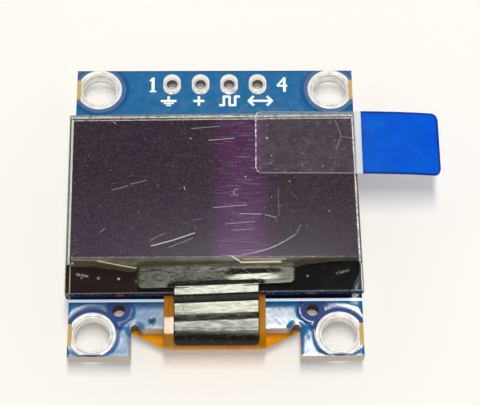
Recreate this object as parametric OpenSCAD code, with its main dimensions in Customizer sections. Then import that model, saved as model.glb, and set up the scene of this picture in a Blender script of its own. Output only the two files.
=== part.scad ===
// Small display module: a glass OLED panel taped face up on a blue circuit board,
// with its flex cable folded through a notch and soldered to the back of the board.
// Millimetres. X runs across the board, Y towards the header pins, Z out of the screen.
// The origin is on the board's front face, at the centre of its four mounting holes.

/* [Circuit board] */
// Width of the board
board_w = 24.5; // [24:0.1:40]
// Length of the board
board_l = 27.3; // [26:0.1:45]
// Thickness of the board
board_t = 1.2; // [0.8:0.1:2]
// Distance of a mounting hole from the board's side
hole_inset_x = 2.0; // [2:0.05:2.5]
// Distance of a mounting hole from the board's end
hole_inset_y = 1.95; // [1.95:0.05:2.3]
// Finished diameter of a mounting hole
hole_d = 3.0; // [2:0.1:3.2]
// Outer diameter of the plated ring round a mounting hole
ring_d = 4.0; // [3.6:0.1:4.2]
// Height of the copper rings and pads above the board
copper_t = 0.04; // [0.02:0.01:0.05]
// Bare margin kept between copper and the board's edge
edge_margin = 0.1; // [0.05:0.01:0.3]
// Width of the notch that the flex cable passes through
notch_w = 14.1; // [12:0.1:15]
// Depth of the notch
notch_d = 2.45; // [2:0.05:3]
// Diameter of the router's relief at the notch's inner corners
notch_relief_d = 0.7; // [0.4:0.05:1]

/* [Header] */
// Number of header pins
pin_count = 4; // [3:1:6]
// Distance between header pins
pin_pitch = 2.54; // [2.54:0.01:2.6]
// Finished diameter of a pin hole
pin_hole_d = 1.0; // [0.8:0.05:1.1]
// Width of a pin's pad
pin_pad_w = 1.57; // [1.4:0.01:1.8]
// Length of a pin's pad
pin_pad_l = 2.1; // [1.9:0.05:2.3]
// Distance of the pin row from the board's edge
pin_inset = 1.4; // [1.2:0.05:2]

/* [Small holes] */
// Diameter of the two holes that line the flex up
align_d = 1.05; // [0.8:0.05:1.3]
// Distance between those two holes
align_pitch = 16.14; // [15:0.1:17]
// Their distance from the notch
align_inset = 1.65; // [1.4:0.05:2]
// Diameter of the via beside the flex
via_d = 0.35; // [0.25:0.01:0.5]
// Diameter of the via's pad
via_pad_d = 0.75; // [0.6:0.01:0.9]
// Sideways place of the via
via_x = -5.3; // [-6:0.1:-4.9]
// Distance of the via from the notch
via_inset = 0.75; // [0.6:0.05:1.2]

/* [Display panel] */
// Width of the glass
panel_w = 24.74; // [23:0.1:40]
// Length of the front glass
panel_l = 16.9; // [15:0.1:17.5]
// Thickness of the front glass
front_glass_t = 0.7; // [0.5:0.05:1.1]
// Thickness of the cap glass behind it
cap_glass_t = 0.5; // [0.4:0.05:0.7]
// Thickness of the glue line between the two
seal_t = 0.02; // [0.01:0.01:0.05]
// Width of the glue line
seal_w = 1.0; // [0.6:0.1:1.5]
// Width of the ledge where the front glass passes the cap glass
ledge_l = 2.87; // [2.8:0.05:3.5]
// Depth of the hollow etched into the cap glass
cavity_depth = 0.25; // [0.15:0.01:0.3]
// Thickness of the drying sheet in that hollow
desiccant_t = 0.15; // [0.08:0.01:0.2]
// Clear edge round the drying sheet
desiccant_gap = 1.2; // [0.5:0.1:3]
// Thickness of the foam tape under the panel
foam_t = 0.65; // [0.55:0.05:1]
// Distance of the foam tape from the cap glass's edges
foam_inset = 1.5; // [0.5:0.1:4]
// Sideways place of the panel on the board
panel_x = -0.16; // [-0.3:0.01:0.3]
// Place of the panel along the board
panel_y = -0.27; // [-0.4:0.01:0.4]
// How far the panel is turned from square, in degrees
panel_turn = 0.5; // [-0.6:0.1:0.6]

/* [Films] */
// Thickness of the polariser
polariser_t = 0.2; // [0.1:0.01:0.3]
// Bare glass at the sides of the polariser
polariser_side_gap = 0.37; // [0.2:0.01:1]
// Bare glass past the polariser at the header end
polariser_top_gap = 0.7; // [0.3:0.05:1.5]
// Thickness of the protective film
film_t = 0.06; // [0.04:0.01:0.12]
// How far the protective film passes the polariser
film_overhang = 0.1; // [0:0.01:0.2]
// How much further its lower edge reaches over the ledge in the middle
film_bow = 0.5; // [0:0.05:0.6]

/* [Pull tab] */
// Length of the pull tab
tab_l = 15.95; // [13:0.05:20]
// Width of the pull tab
tab_w = 6.1; // [4:0.1:8]
// Thickness of the tab's clear tape
tab_t = 0.05; // [0.04:0.01:0.1]
// Length of its coloured grip
grip_l = 6.75; // [4:0.05:7]
// Thickness of the grip's layer
grip_t = 0.05; // [0.04:0.01:0.1]
// Radius of the tab's corners
tab_corner_r = 0.6; // [0.2:0.1:1.5]
// Where the tab starts, from the panel's middle
tab_start = 3.65; // [0:0.05:4]
// Place of the tab's middle line, from the panel's middle
tab_y = 5.45; // [-2:0.05:5.6]
// Radius of the curve in which the free end sags
tab_sag_r = 75; // [50:1:400]
// How far the tab is turned from the panel, in degrees
tab_turn = -0.9; // [-1.5:0.1:1.5]

/* [Flex cable] */
// Width of the flex where it folds
flex_w = 8.4; // [6:0.1:9]
// Thickness of the flex
flex_t = 0.1; // [0.08:0.01:0.15]
// How far the flex is bonded under the ledge
bond_l = 1.3; // [1:0.05:1.5]
// Distance of the fold's axis from the notch's edge
fold_gap = 0.55; // [0.5:0.05:1]
// Share of the way from the glass to the fold's axis in which the flex starts to bend down
lead_share = 0.35; // [0.1:0.05:0.4]
// Slope of the flex where that bend ends and the fold starts, in degrees
lead_angle = 18; // [5:1:30]
// Width of the soldered tail
tail_w = 21; // [19:0.1:22]
// Distance from the notch to the end of the tail
tail_reach = 4.3; // [4:0.1:6]
// Distance from the fold's axis, outwards, to where the flex starts to widen
wing_start = 0.75; // [0:0.05:0.8]
// Rise of the wing's edge for each millimetre outwards
wing_slope = 0.52; // [0.4:0.01:0.58]
// Sideways place of the flex
flex_x = -0.08; // [-0.3:0.01:0.3]
// Height of the solder layer between tail and board
solder_gap = 0.05; // [0.05:0.01:0.1]
// Number of soldered fingers
finger_count = 30; // [20:1:30]
// Distance between the fingers
finger_pitch = 0.62; // [0.6:0.01:0.65]
// Width of one solder joint
joint_w = 0.34; // [0.2:0.01:0.4]
// Length of one solder joint past the tail's end
joint_l = 0.8; // [0.5:0.05:1]

/* [Driver chip] */
// Length of the bare driver chip
chip_l = 11; // [8:0.5:12]
// Width of the chip
chip_w = 0.9; // [0.6:0.05:1.1]
// Thickness of the chip
chip_t = 0.3; // [0.2:0.01:0.35]
// Distance of the chip from the cap glass
chip_gap = 0.35; // [0.2:0.05:0.45]
// Thickness of the black coating behind the ledge
coating_t = 0.4; // [0.4:0.01:0.5]
// Clear ledge left at the far end of the coating
coating_end_gap = 0.85; // [0.3:0.05:2]
// Clear ledge left at the near end of the coating
coating_start_gap = 0.4; // [0.1:0.05:1]
// Clear ledge left along the coating's long sides
coating_gap = 0.12; // [0.05:0.01:0.3]
// Radius of the coating's corners at that far end
coating_corner_r = 0.8; // [0.2:0.1:1.2]

/* [Cover tape] */
// Thickness of the T-shaped cover tape
tape_t = 0.06; // [0.04:0.01:0.1]
// Width of the tape's head on the ledge
head_w = 13.1; // [10:0.1:14]
// Depth of the tape's head
head_l = 2.1; // [1.8:0.05:2.2]
// Width of the tape's stem on the flex
stem_w = 7.05; // [5:0.05:7.4]
// Angle of the fold that the stem covers
tape_wrap = 61; // [35:1:80]
// Thickness of the tape's glue
tape_glue = 0.01; // [0.01:0.01:0.03]
// Distance past the glass's edge at which the tape bends down
tape_edge_gap = 0.1; // [0.08:0.01:0.3]
// Radius of the tape's two bends beside the glass
tape_edge_r = 0.25; // [0.1:0.05:0.3]
// Steepness of the tape between those bends, in degrees
tape_edge_angle = 65; // [50:1:80]
// Radius of the tape's corners
tape_corner_r = 0.5; // [0.2:0.05:0.8]
// How far the head is turned on the ledge, in degrees
head_turn = 1.2; // [0:0.1:1.5]

/* [Parts on the back] */
// Length of a chip capacitor or resistor
smd_l = 1.6; // [1.4:0.05:1.7]
// Width of a chip capacitor or resistor
smd_w = 0.8; // [0.7:0.05:0.9]
// Length of its metal end
smd_end = 0.35; // [0.25:0.05:0.45]
// Height of a capacitor
capacitor_h = 0.8; // [0.6:0.05:0.9]
// Height of a resistor
resistor_h = 0.45; // [0.35:0.05:0.55]
// How far the ends stand out from the body
end_step = 0.03; // [0.02:0.01:0.05]
// Length of a solder fillet
fillet_l = 0.35; // [0.2:0.05:0.5]
// Distance of the lower row of parts from the tail's end
row_gap = 2.6; // [2.4:0.1:3.5]
// Distance of the upper row of parts from the pin row
upper_row_gap = 3.6; // [3:0.1:4.5]
// Distance between neighbouring parts in a row
row_pitch = 2.3; // [2.2:0.1:2.4]
// Length of the regulator's body
regulator_l = 2.9; // [2.7:0.05:3.1]
// Width of the regulator's body
regulator_w = 1.3; // [1.2:0.05:1.5]
// Height of the regulator
regulator_h = 1.1; // [0.9:0.05:1.2]
// Length of the diode's body
diode_l = 1.7; // [1.5:0.05:1.9]
// Width of the diode's body
diode_w = 1.25; // [1.1:0.05:1.4]
// Height of the diode
diode_h = 0.95; // [0.8:0.05:1.1]
// Thickness of the regulator's and the diode's leads
lead_t = 0.13; // [0.1:0.01:0.16]
// Width of those leads
lead_w = 0.4; // [0.3:0.05:0.5]
// How far those leads reach from the body
lead_reach = 0.5; // [0.4:0.05:0.7]

/* [Hidden] */
$fn = 64;
EPS = 0.02;              // overlap of cutting tools, so that no face is left over a hole
MOULD_DRAFT = 0.08;      // how far a moulded body's faces lean in
CORNERS = [[-1, 1], [1, 1], [-1, -1], [1, -1]];

notch_y = -board_l / 2 + notch_d;
pin_y = board_l / 2 - pin_inset;
align_y = notch_y + align_inset;

// Heights of the panel's layers
cap_z = foam_t;
seal_z = cap_z + cap_glass_t;
ledge_z = seal_z + seal_t;
glass_z = ledge_z + front_glass_t;
film_z = glass_z + polariser_t;
tab_z = film_z + film_t;
grip_z = tab_z + tab_t;

// Places on the panel, from its own middle
cap_l = panel_l - ledge_l;
ledge_y = -panel_l / 2 + ledge_l;
polariser_w = panel_w - 2 * polariser_side_gap;
polariser_l = cap_l - polariser_top_gap;
tab_flat = polariser_w / 2 + film_overhang - tab_start;
tab_free = tab_l - tab_flat;

// The fold of the flex, from the board's middle
glass_edge_y = panel_y - panel_l / 2;
flex_z = ledge_z - flex_t / 2;
tail_z = -board_t - solder_gap - flex_t / 2;
fold_y = notch_y - fold_gap;
lead_l = lead_share * (glass_edge_y - fold_y);
lead_y = fold_y + lead_l;
lead_r = (flex_z - tail_z + lead_l / tan(lead_angle / 2)) / 2;
fold_r = lead_r - lead_l / sin(lead_angle);
fold_z = tail_z + fold_r;
bond_y = glass_edge_y + bond_l;
tail_y = notch_y + tail_reach;
wing_y = fold_y - wing_start;
shoulder_y = wing_y + (tail_w - flex_w) / 2 * wing_slope;

// Rows of parts on the back, and which of them are capacitors
lower_row_y = tail_y + row_gap;
upper_row_y = pin_y - upper_row_gap;
LOWER_ROW = [for (i = [-3.5:1:3.5]) [i * row_pitch, lower_row_y]];
UPPER_ROW = [for (i = [-1:1:4]) [i * row_pitch, upper_row_y]];
capacitor_places = [for (i = [0, 1, 2, 4, 5, 7]) LOWER_ROW[i], UPPER_ROW[0], UPPER_ROW[5]];
resistor_places = [for (i = [3, 6]) LOWER_ROW[i], for (i = [1:4]) UPPER_ROW[i]];
regulator_at = [-2.6 * row_pitch, upper_row_y];
diode_at = [3.2 * row_pitch, (upper_row_y + lower_row_y) / 2];
jumper_at = [-3 * row_pitch, (upper_row_y + lower_row_y) / 2];

RING_NODES = [for (i = [1:4]) str("mounting_ring_", i)];
PAD_NODES = [for (i = [1:pin_count]) str("header_pad_", i)];
CAPACITOR_NODES = [for (i = [1:len(capacitor_places)]) str("capacitor_", i)];
RESISTOR_NODES = [for (i = [1:len(resistor_places)]) str("resistor_", i)];

// Rounded rectangle between two corners, with true arcs
module rounded_rect(low, high, r) {
    span = high - low;
    fit_r = min(r, span.x / 2 - EPS, span.y / 2 - EPS);
    translate([low.x + fit_r, low.y]) square([span.x - 2 * fit_r, span.y]);
    translate([low.x, low.y + fit_r]) square([span.x, span.y - 2 * fit_r]);
    for (x = [low.x + fit_r, high.x - fit_r], y = [low.y + fit_r, high.y - fit_r])
        translate([x, y]) circle(r = fit_r);
}

// Points of an arc about a centre; 0 degrees is up, and angles grow towards -x of the profile
function arc(centre, r, from, to, steps, first = 0) =
    [for (i = [first:steps]) let (a = from + (to - from) * i / steps)
        centre + r * [-sin(a), cos(a)]];

// Unit normal of a path at one of its points, pointing to the left of its direction
function path_normal(path, i) =
    let (a = path[max(i - 1, 0)], b = path[min(i + 1, len(path) - 1)], d = b - a)
    [-d.y, d.x] / norm(d);

// Closed outline of a strip that follows a path, between two distances to its left
function strip(path, from, to) =
    concat([for (i = [0:len(path) - 1]) path[i] + to * path_normal(path, i)],
           [for (i = [len(path) - 1:-1:0]) path[i] + from * path_normal(path, i)]);

// Extrudes a [y, z] profile across the board, from one x to another
module across(x0, x1) {
    translate([x0, 0, 0]) rotate([90, 0, 90]) linear_extrude(x1 - x0) children();
}

// Puts what is drawn in the panel's own frame on the board
module on_panel() {
    translate([panel_x, panel_y, 0]) rotate([0, 0, panel_turn]) children();
}

// Drops what is drawn above z = 0 onto the board's back, upside down
module on_back(at) {
    translate([at.x, at.y, -board_t]) mirror([0, 0, 1]) children();
}

function corner_hole(i) =
    [CORNERS[i].x * (board_w / 2 - hole_inset_x), CORNERS[i].y * (board_l / 2 - hole_inset_y)];

function pin_at(i) = [(i - (pin_count - 1) / 2) * pin_pitch, pin_y];

module board_outline(inset = 0) {
    square([board_w - 2 * inset, board_l - 2 * inset], center = true);
}

module circuit_board() {
    color([0.14, 0.42, 0.66])
    translate([0, 0, -board_t]) linear_extrude(board_t) difference() {
        board_outline();
        translate([-notch_w / 2, -board_l / 2 - EPS]) square([notch_w, notch_d + EPS]);
        for (x = [-1, 1]) {
            translate([x * (notch_w - notch_relief_d) / 2, notch_y]) circle(d = notch_relief_d);
            translate([x * align_pitch / 2, align_y]) circle(d = align_d);
        }
        for (i = [0:3]) translate(corner_hole(i)) circle(d = hole_d);
        for (i = [0:pin_count - 1]) translate(pin_at(i)) circle(d = pin_hole_d);
        translate([via_x, notch_y + via_inset]) circle(d = via_d);
    }
}

// Copper round a plated hole: the same pad, drawn by the caller, on each face of the board
module hole_pads(at, bore_d) {
    for (z = [0, -board_t - copper_t])
        translate([0, 0, z]) linear_extrude(copper_t) difference() {
            children();
            translate(at) circle(d = bore_d);
        }
}

module mounting_ring(i) {
    color([0.83, 0.83, 0.80])
    hole_pads(corner_hole(i), hole_d) intersection() {
        translate(corner_hole(i)) circle(d = ring_d);
        board_outline(edge_margin);
    }
}

module header_pad(i) {
    reach = (pin_pad_l - pin_pad_w) / 2;
    color([0.83, 0.83, 0.80])
    hole_pads(pin_at(i), pin_hole_d) translate(pin_at(i)) {
        for (y = [-reach, reach]) translate([0, y]) circle(d = pin_pad_w);
        square([pin_pad_w, 2 * reach], center = true);
    }
}

module via_pads() {
    at = [via_x, notch_y + via_inset];
    color([0.75, 0.80, 0.85])
    hole_pads(at, via_d) translate(at) circle(d = via_pad_d);
}

module foam_tape() {
    color([0.93, 0.93, 0.90])
    on_panel() translate([-panel_w / 2 + foam_inset, ledge_y + foam_inset, 0])
        cube([panel_w - 2 * foam_inset, cap_l - 2 * foam_inset, foam_t]);
}

module cap_glass() {
    color([0.75, 0.80, 0.80])
    on_panel() difference() {
        translate([-panel_w / 2, ledge_y, cap_z]) cube([panel_w, cap_l, cap_glass_t]);
        translate([-panel_w / 2 + seal_w, ledge_y + seal_w, seal_z - cavity_depth])
            cube([panel_w - 2 * seal_w, cap_l - 2 * seal_w, cavity_depth + EPS]);
    }
}

module desiccant_sheet() {
    inset = seal_w + desiccant_gap;
    color([0.95, 0.95, 0.93])
    on_panel() translate([-panel_w / 2 + inset, ledge_y + inset, seal_z - cavity_depth])
        cube([panel_w - 2 * inset, cap_l - 2 * inset, desiccant_t]);
}

module edge_seal() {
    color([0.85, 0.80, 0.60])
    on_panel() translate([-panel_w / 2, ledge_y, seal_z]) linear_extrude(seal_t) difference() {
        square([panel_w, cap_l]);
        translate([seal_w, seal_w]) square([panel_w - 2 * seal_w, cap_l - 2 * seal_w]);
    }
}

module front_glass() {
    color([0.20, 0.17, 0.20])
    on_panel() translate([-panel_w / 2, -panel_l / 2, ledge_z])
        cube([panel_w, panel_l, front_glass_t]);
}

module polariser() {
    color([0.26, 0.20, 0.26])
    on_panel() translate([-polariser_w / 2, ledge_y, glass_z])
        cube([polariser_w, polariser_l, polariser_t]);
}

module protective_film() {
    side_x = polariser_w / 2 + film_overhang;
    low_y = ledge_y - film_overhang;
    high_y = ledge_y + polariser_l + film_overhang;
    color([0.45, 0.38, 0.45])
    on_panel() translate([0, 0, film_z]) linear_extrude(film_t)
        polygon([[-side_x, high_y], [side_x, high_y], [side_x, low_y],
                 [head_w / 2, low_y - film_bow], [-head_w / 2, low_y - film_bow],
                 [-side_x, low_y]]);
}

// The tab's path in [x, z] from its stuck end: flat on the film, then sagging past its edge
function tab_path() =
    let (end_angle = tab_free / tab_sag_r * 180 / PI)
    concat([[0, 0]],
           [for (i = [0:12]) let (a = end_angle * i / 12)
               [tab_flat + tab_sag_r * sin(a), tab_sag_r * (cos(a) - 1)]]);

// One layer of the tab, between two heights over the film and from a distance along it
module tab_layer(from, to, start) {
    on_panel() translate([tab_start, tab_y, tab_z]) rotate([0, 0, tab_turn]) intersection() {
        translate([0, tab_w / 2, 0]) rotate([90, 0, 0])
            linear_extrude(tab_w) polygon(strip(tab_path(), from, to));
        translate([0, 0, -tab_l]) linear_extrude(2 * tab_l) intersection() {
            rounded_rect([0, -tab_w / 2], [tab_l, tab_w / 2], tab_corner_r);
            translate([start, -tab_w]) square([tab_l, 2 * tab_w]);
        }
    }
}

module pull_tab() {
    color([0.90, 0.92, 0.93]) tab_layer(0, tab_t, 0);
}

module pull_tab_grip() {
    color([0.03, 0.38, 0.82]) tab_layer(tab_t, tab_t + grip_t, tab_l - grip_l);
}

// The chip's low corner on the ledge, in the panel's frame
function chip_corner() = [-chip_l / 2, ledge_y - chip_gap - chip_w, ledge_z - chip_t];

module driver_chip() {
    color([0.35, 0.36, 0.38])
    on_panel() translate(chip_corner()) cube([chip_l, chip_w, chip_t]);
}

module ledge_coating() {
    low = [-panel_w / 2 + coating_start_gap, -panel_l / 2 + coating_gap];
    high = [panel_w / 2 - coating_end_gap, ledge_y - coating_gap];
    color([0.10, 0.06, 0.06])
    difference() {
        on_panel() difference() {
            translate([0, 0, ledge_z - coating_t]) linear_extrude(coating_t) {
                rounded_rect(low, high, coating_corner_r);
                translate(low) square([panel_w / 2, high.y - low.y]);
            }
            translate(chip_corner()) cube([chip_l, chip_w, chip_t + EPS]);
        }
        translate([flex_x - flex_w / 2, bond_y - ledge_l, ledge_z - flex_t])
            cube([flex_w, ledge_l, flex_t + EPS]);
    }
}

// The bends of the flex, or of what lies on it, up to a slope and at a distance outside its middle
function flex_bends(slope, out) =
    concat(arc([lead_y, flex_z - lead_r], lead_r + out, 0, lead_angle, 6),
           arc([fold_y, fold_z], fold_r + out, lead_angle, slope, ceil(slope / 4), 1));

// The flex's path in [y, z]: out from under the ledge, round the fold, and back to the tail
function flex_path() = concat([[bond_y, flex_z]], flex_bends(180, 0), [[tail_y, tail_z]]);

module flex_profile() {
    polygon(strip(flex_path(), -flex_t / 2, flex_t / 2));
}

// The narrow half of the flex, above the middle of its fold
module flex_top() {
    translate([flex_x, 0, 0]) intersection() {
        across(-flex_w / 2, flex_w / 2) flex_profile();
        translate([-flex_w, fold_y - 2 * fold_r, fold_z - EPS])
            cube([2 * flex_w, bond_y - fold_y + 4 * fold_r, 2 * fold_r]);
    }
}

// Outline of the lower half, seen from above: a neck, two wings and the wide tail
module tail_outline() {
    difference() {
        polygon([[-flex_w / 2, fold_y - 2 * fold_r], [flex_w / 2, fold_y - 2 * fold_r],
                 [flex_w / 2, wing_y], [tail_w / 2, shoulder_y], [tail_w / 2, tail_y],
                 [-tail_w / 2, tail_y], [-tail_w / 2, shoulder_y], [-flex_w / 2, wing_y]]);
        for (x = [-1, 1]) translate([x * align_pitch / 2 - flex_x, align_y]) circle(d = align_d);
    }
}

module flex_cable() {
    color([0.88, 0.57, 0.06]) union() {
        flex_top();
        translate([flex_x, 0, 0]) intersection() {
            across(-tail_w / 2, tail_w / 2) flex_profile();
            translate([0, 0, tail_z - fold_r]) linear_extrude(fold_r + fold_z - tail_z)
                tail_outline();
        }
    }
}

// The stem's path in [y, z]: over the glass's edge, down to the flex and round its fold
function tape_path() =
    let (start_y = glass_edge_y - tape_edge_gap, top_z = glass_z + tape_glue,
         on_flex_z = flex_z + flex_t / 2 + tape_glue,
         bend = tape_edge_r * [sin(tape_edge_angle), 1 - cos(tape_edge_angle)],
         straight_y = (top_z - on_flex_z - 2 * bend.y) / tan(tape_edge_angle),
         touch_y = start_y - 2 * bend.x - straight_y)
    concat([[glass_edge_y + head_l / 2, top_z]],
           arc([start_y, top_z - tape_edge_r], tape_edge_r, 0, tape_edge_angle, 6),
           arc([touch_y, on_flex_z + tape_edge_r], tape_edge_r, 180 + tape_edge_angle, 180, 6),
           flex_bends(tape_wrap, flex_t / 2 + tape_glue));

module cover_tape() {
    wrap_z = fold_z + (fold_r + flex_t / 2) * cos(tape_wrap);
    color([0.25, 0.24, 0.20]) {
        on_panel() translate([0, -panel_l / 2 + head_l / 2 + tape_corner_r, glass_z + tape_glue])
            rotate([0, 0, head_turn]) linear_extrude(tape_t)
                rounded_rect([-head_w / 2, -head_l / 2], [head_w / 2, head_l / 2], tape_corner_r);
        translate([flex_x, 0, 0]) intersection() {
            across(-stem_w / 2, stem_w / 2) polygon(strip(tape_path(), -tape_t, 0));
            rotate([90, 0, 0]) translate([0, 0, -glass_edge_y - head_l])
                linear_extrude(2 * fold_r - fold_y)
                    rounded_rect([-stem_w / 2, wrap_z],
                                 [stem_w / 2, glass_z + 2 * fold_r], tape_corner_r);
        }
    }
}

// Solder between each finger of the tail and its pad, with a rounded bead past the end
module tail_solder() {
    bead_h = solder_gap + flex_t;
    color([0.80, 0.80, 0.78])
    for (i = [0:finger_count - 1])
        translate([flex_x + (i - (finger_count - 1) / 2) * finger_pitch, 0, -board_t]) {
            translate([-joint_w / 2, tail_y - joint_l, -solder_gap])
                cube([joint_w, joint_l, solder_gap]);
            translate([-joint_w / 2, tail_y, 0]) rotate([90, 0, 90])
                linear_extrude(joint_w) intersection() {
                    translate([0, -bead_h]) square([joint_l, bead_h]);
                    scale([1, bead_h / joint_l]) circle(r = joint_l);
                }
        }
}

// A chip part lying along Y: a body with a metal cap over each end
module chip_part(h, body_colour) {
    color(body_colour) translate([-smd_w / 2, smd_end - smd_l / 2, end_step])
        cube([smd_w, smd_l - 2 * smd_end, h - 2 * end_step]);
    color([0.82, 0.82, 0.80]) for (y = [-smd_l / 2, smd_l / 2 - smd_end])
        translate([-smd_w / 2 - end_step, y, 0]) cube([smd_w + 2 * end_step, smd_end, h]);
}

module capacitor(at) {
    on_back(at) chip_part(capacitor_h, [0.72, 0.58, 0.42]);
}

module resistor(at) {
    on_back(at) chip_part(resistor_h, [0.10, 0.10, 0.11]);
}

// A moulded body whose four sides lean in above and below its middle
module moulded_body(l, w, h, foot) {
    intersection() {
        rotate([90, 0, 0]) linear_extrude(w, center = true) lean_profile(l, h, foot);
        rotate([90, 0, 90]) linear_extrude(l, center = true) lean_profile(w, h, foot);
    }
}

module lean_profile(w, h, foot) {
    mid = (h + foot) / 2;
    polygon([[-w / 2, mid], [-w / 2 + MOULD_DRAFT, foot], [w / 2 - MOULD_DRAFT, foot],
             [w / 2, mid], [w / 2 - MOULD_DRAFT, h], [-w / 2 + MOULD_DRAFT, h]]);
}

// A gull-wing lead that leaves a body's side at x = 0 and reaches the board
module gull_lead(mid_z) {
    translate([0, lead_w / 2, 0]) rotate([90, 0, 0]) linear_extrude(lead_w)
        polygon([[0, mid_z - lead_t / 2], [0, mid_z + lead_t / 2],
                 [lead_reach / 2, mid_z + lead_t / 2], [lead_reach / 2 + lead_t / 2, lead_t],
                 [lead_reach, lead_t], [lead_reach, 0], [lead_reach / 2 - lead_t / 2, 0],
                 [lead_reach / 2 - lead_t, mid_z - lead_t / 2]]);
}

module regulator() {
    color([0.09, 0.09, 0.10])
    on_back(regulator_at) moulded_body(regulator_l, regulator_w, regulator_h, lead_t / 2);
}

module regulator_leads() {
    mid_z = (regulator_h + lead_t / 2) / 2;
    color([0.80, 0.80, 0.78])
    on_back(regulator_at) for (lead = [[-1, -1], [1, -1], [0, 1]])
        translate([lead.x * regulator_l / 3, lead.y * regulator_w / 2, 0])
            rotate([0, 0, lead.y * 90]) gull_lead(mid_z);
}

module diode() {
    color([0.09, 0.09, 0.10])
    on_back(diode_at) rotate([0, 0, 90]) moulded_body(diode_l, diode_w, diode_h, lead_t / 2);
}

module diode_leads() {
    mid_z = (diode_h + lead_t / 2) / 2;
    color([0.80, 0.80, 0.78])
    on_back(diode_at) for (side = [-1, 1])
        translate([0, side * diode_l / 2, 0]) rotate([0, 0, side * 90]) gull_lead(mid_z);
}

module address_resistor() {
    resistor(jumper_at);
}

// A concave wedge of solder at each end of every chip part
module solder_fillets() {
    color([0.80, 0.80, 0.78])
    for (at = concat(capacitor_places, resistor_places, [jumper_at]), side = [-1, 1])
        on_back(at) translate([0, side * smd_l / 2, 0]) rotate([0, 0, side * 90 - 90])
            translate([-smd_w / 2, 0, 0]) rotate([90, 0, 90]) linear_extrude(smd_w)
                difference() {
                    square(fillet_l);
                    translate([fillet_l, fillet_l]) circle(r = fillet_l - EPS);
                }
}

for (i = [0:3])
    mounting_ring(i);
for (i = [0:pin_count - 1])
    header_pad(i);
for (i = [0:len(capacitor_places) - 1])
    capacitor(capacitor_places[i]);
for (i = [0:len(resistor_places) - 1])
    resistor(resistor_places[i]);
circuit_board();
via_pads();
foam_tape();
cap_glass();
desiccant_sheet();
edge_seal();
front_glass();
polariser();
protective_film();
pull_tab();
pull_tab_grip();
driver_chip();
ledge_coating();
flex_cable();
cover_tape();
tail_solder();
regulator();
regulator_leads();
diode();
diode_leads();
address_resistor();
solder_fillets();
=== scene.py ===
import math
import random

import bmesh
import bpy
from mathutils import Euler, Matrix, Vector


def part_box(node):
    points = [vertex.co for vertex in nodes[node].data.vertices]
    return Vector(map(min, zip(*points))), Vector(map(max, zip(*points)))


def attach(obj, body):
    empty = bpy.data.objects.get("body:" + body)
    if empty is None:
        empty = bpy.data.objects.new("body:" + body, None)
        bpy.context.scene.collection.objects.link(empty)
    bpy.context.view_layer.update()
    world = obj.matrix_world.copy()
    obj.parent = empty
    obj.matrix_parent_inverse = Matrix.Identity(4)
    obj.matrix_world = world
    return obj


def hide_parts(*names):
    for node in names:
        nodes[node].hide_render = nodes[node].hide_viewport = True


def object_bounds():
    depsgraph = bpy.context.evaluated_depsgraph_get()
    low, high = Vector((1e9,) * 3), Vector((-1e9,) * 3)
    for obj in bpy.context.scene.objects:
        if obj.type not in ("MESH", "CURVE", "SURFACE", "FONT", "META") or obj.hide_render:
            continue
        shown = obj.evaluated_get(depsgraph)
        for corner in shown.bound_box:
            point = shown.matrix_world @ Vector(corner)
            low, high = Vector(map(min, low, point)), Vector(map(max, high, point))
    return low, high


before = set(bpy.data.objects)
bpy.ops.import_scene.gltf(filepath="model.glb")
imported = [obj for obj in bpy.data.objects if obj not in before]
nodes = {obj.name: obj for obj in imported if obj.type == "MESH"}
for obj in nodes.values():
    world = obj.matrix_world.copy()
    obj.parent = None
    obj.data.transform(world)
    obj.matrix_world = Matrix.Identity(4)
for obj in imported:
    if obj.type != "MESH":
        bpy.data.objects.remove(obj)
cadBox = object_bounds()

scene = bpy.context.scene
scene.view_settings.view_transform = "Standard"
random.seed(4)
print("frame loaded,", len(nodes), "nodes")

# All shapes below are drawn in millimetres and turned into metres when a piece is finished.
panel = {
    "width": 24.74, "length": 16.9, "turn": math.radians(0.5),
    "polariserHalf": 12.0, "ledge": -5.58, "polariserTop": 7.75, "filmLow": -5.68, "filmHigh": 7.85,
}
glassLow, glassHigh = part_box("front_glass")
panel["centre"] = (glassLow + glassHigh) * 500
panel["glassTop"] = glassHigh.z * 1000
panel["glassBottom"] = glassLow.z * 1000
boardLow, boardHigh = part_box("circuit_board")
board = {"halfWidth": boardHigh.x * 1000, "halfLength": boardHigh.y * 1000, "back": boardLow.z * 1000}


# ---- camera, floor and light come first, so that every later piece can be looked at

camera = {
    "place": (-0.000114, -0.06248, 0.12634), "turn": (0.4628, -0.0162, -0.0036),
    "lens": 123.08, "shift": (-0.00117, -0.00194),
}
cameraData = bpy.data.cameras.new("camera")
cameraData.lens = camera["lens"]
cameraData.sensor_width = 36
cameraData.shift_x, cameraData.shift_y = camera["shift"]
cameraData.clip_start = 0.005
cameraObject = bpy.data.objects.new("camera", cameraData)
turn = Matrix.Rotation(camera["turn"][0], 4, "X") @ Matrix.Rotation(camera["turn"][1], 4, "Y") @ Matrix.Rotation(camera["turn"][2], 4, "Z")
cameraObject.matrix_world = Matrix.Translation(camera["place"]) @ turn
scene.collection.objects.link(cameraObject)
scene.camera = cameraObject

studio = {
    "floorSize": 0.9, "floorColour": (232, 230, 227), "floorRoughness": 0.75, "floorLift": 0.255,
    "lampAim": (1.72, 4.75), "lampDistance": 0.5, "lampWidth": 0.071, "lampLength": 0.3115, "lampPower": 1.56,
    "worldUp": (0.93, 0.96, 1.0), "worldSide": (1.0, 0.97, 0.93), "ceilingStrength": 0.1, "wallStrength": 0.8, "frontStrength": 0.62,
}


def tint(red, green, blue):  # a colour as a screen shows it, 0 to 255, made linear
    def linear(value):
        value /= 255
        return value / 12.92 if value <= 0.04045 else ((value + 0.055) / 1.055) ** 2.4
    return (linear(red), linear(green), linear(blue), 1.0)


# ---- small helpers for shader nodes

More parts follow.
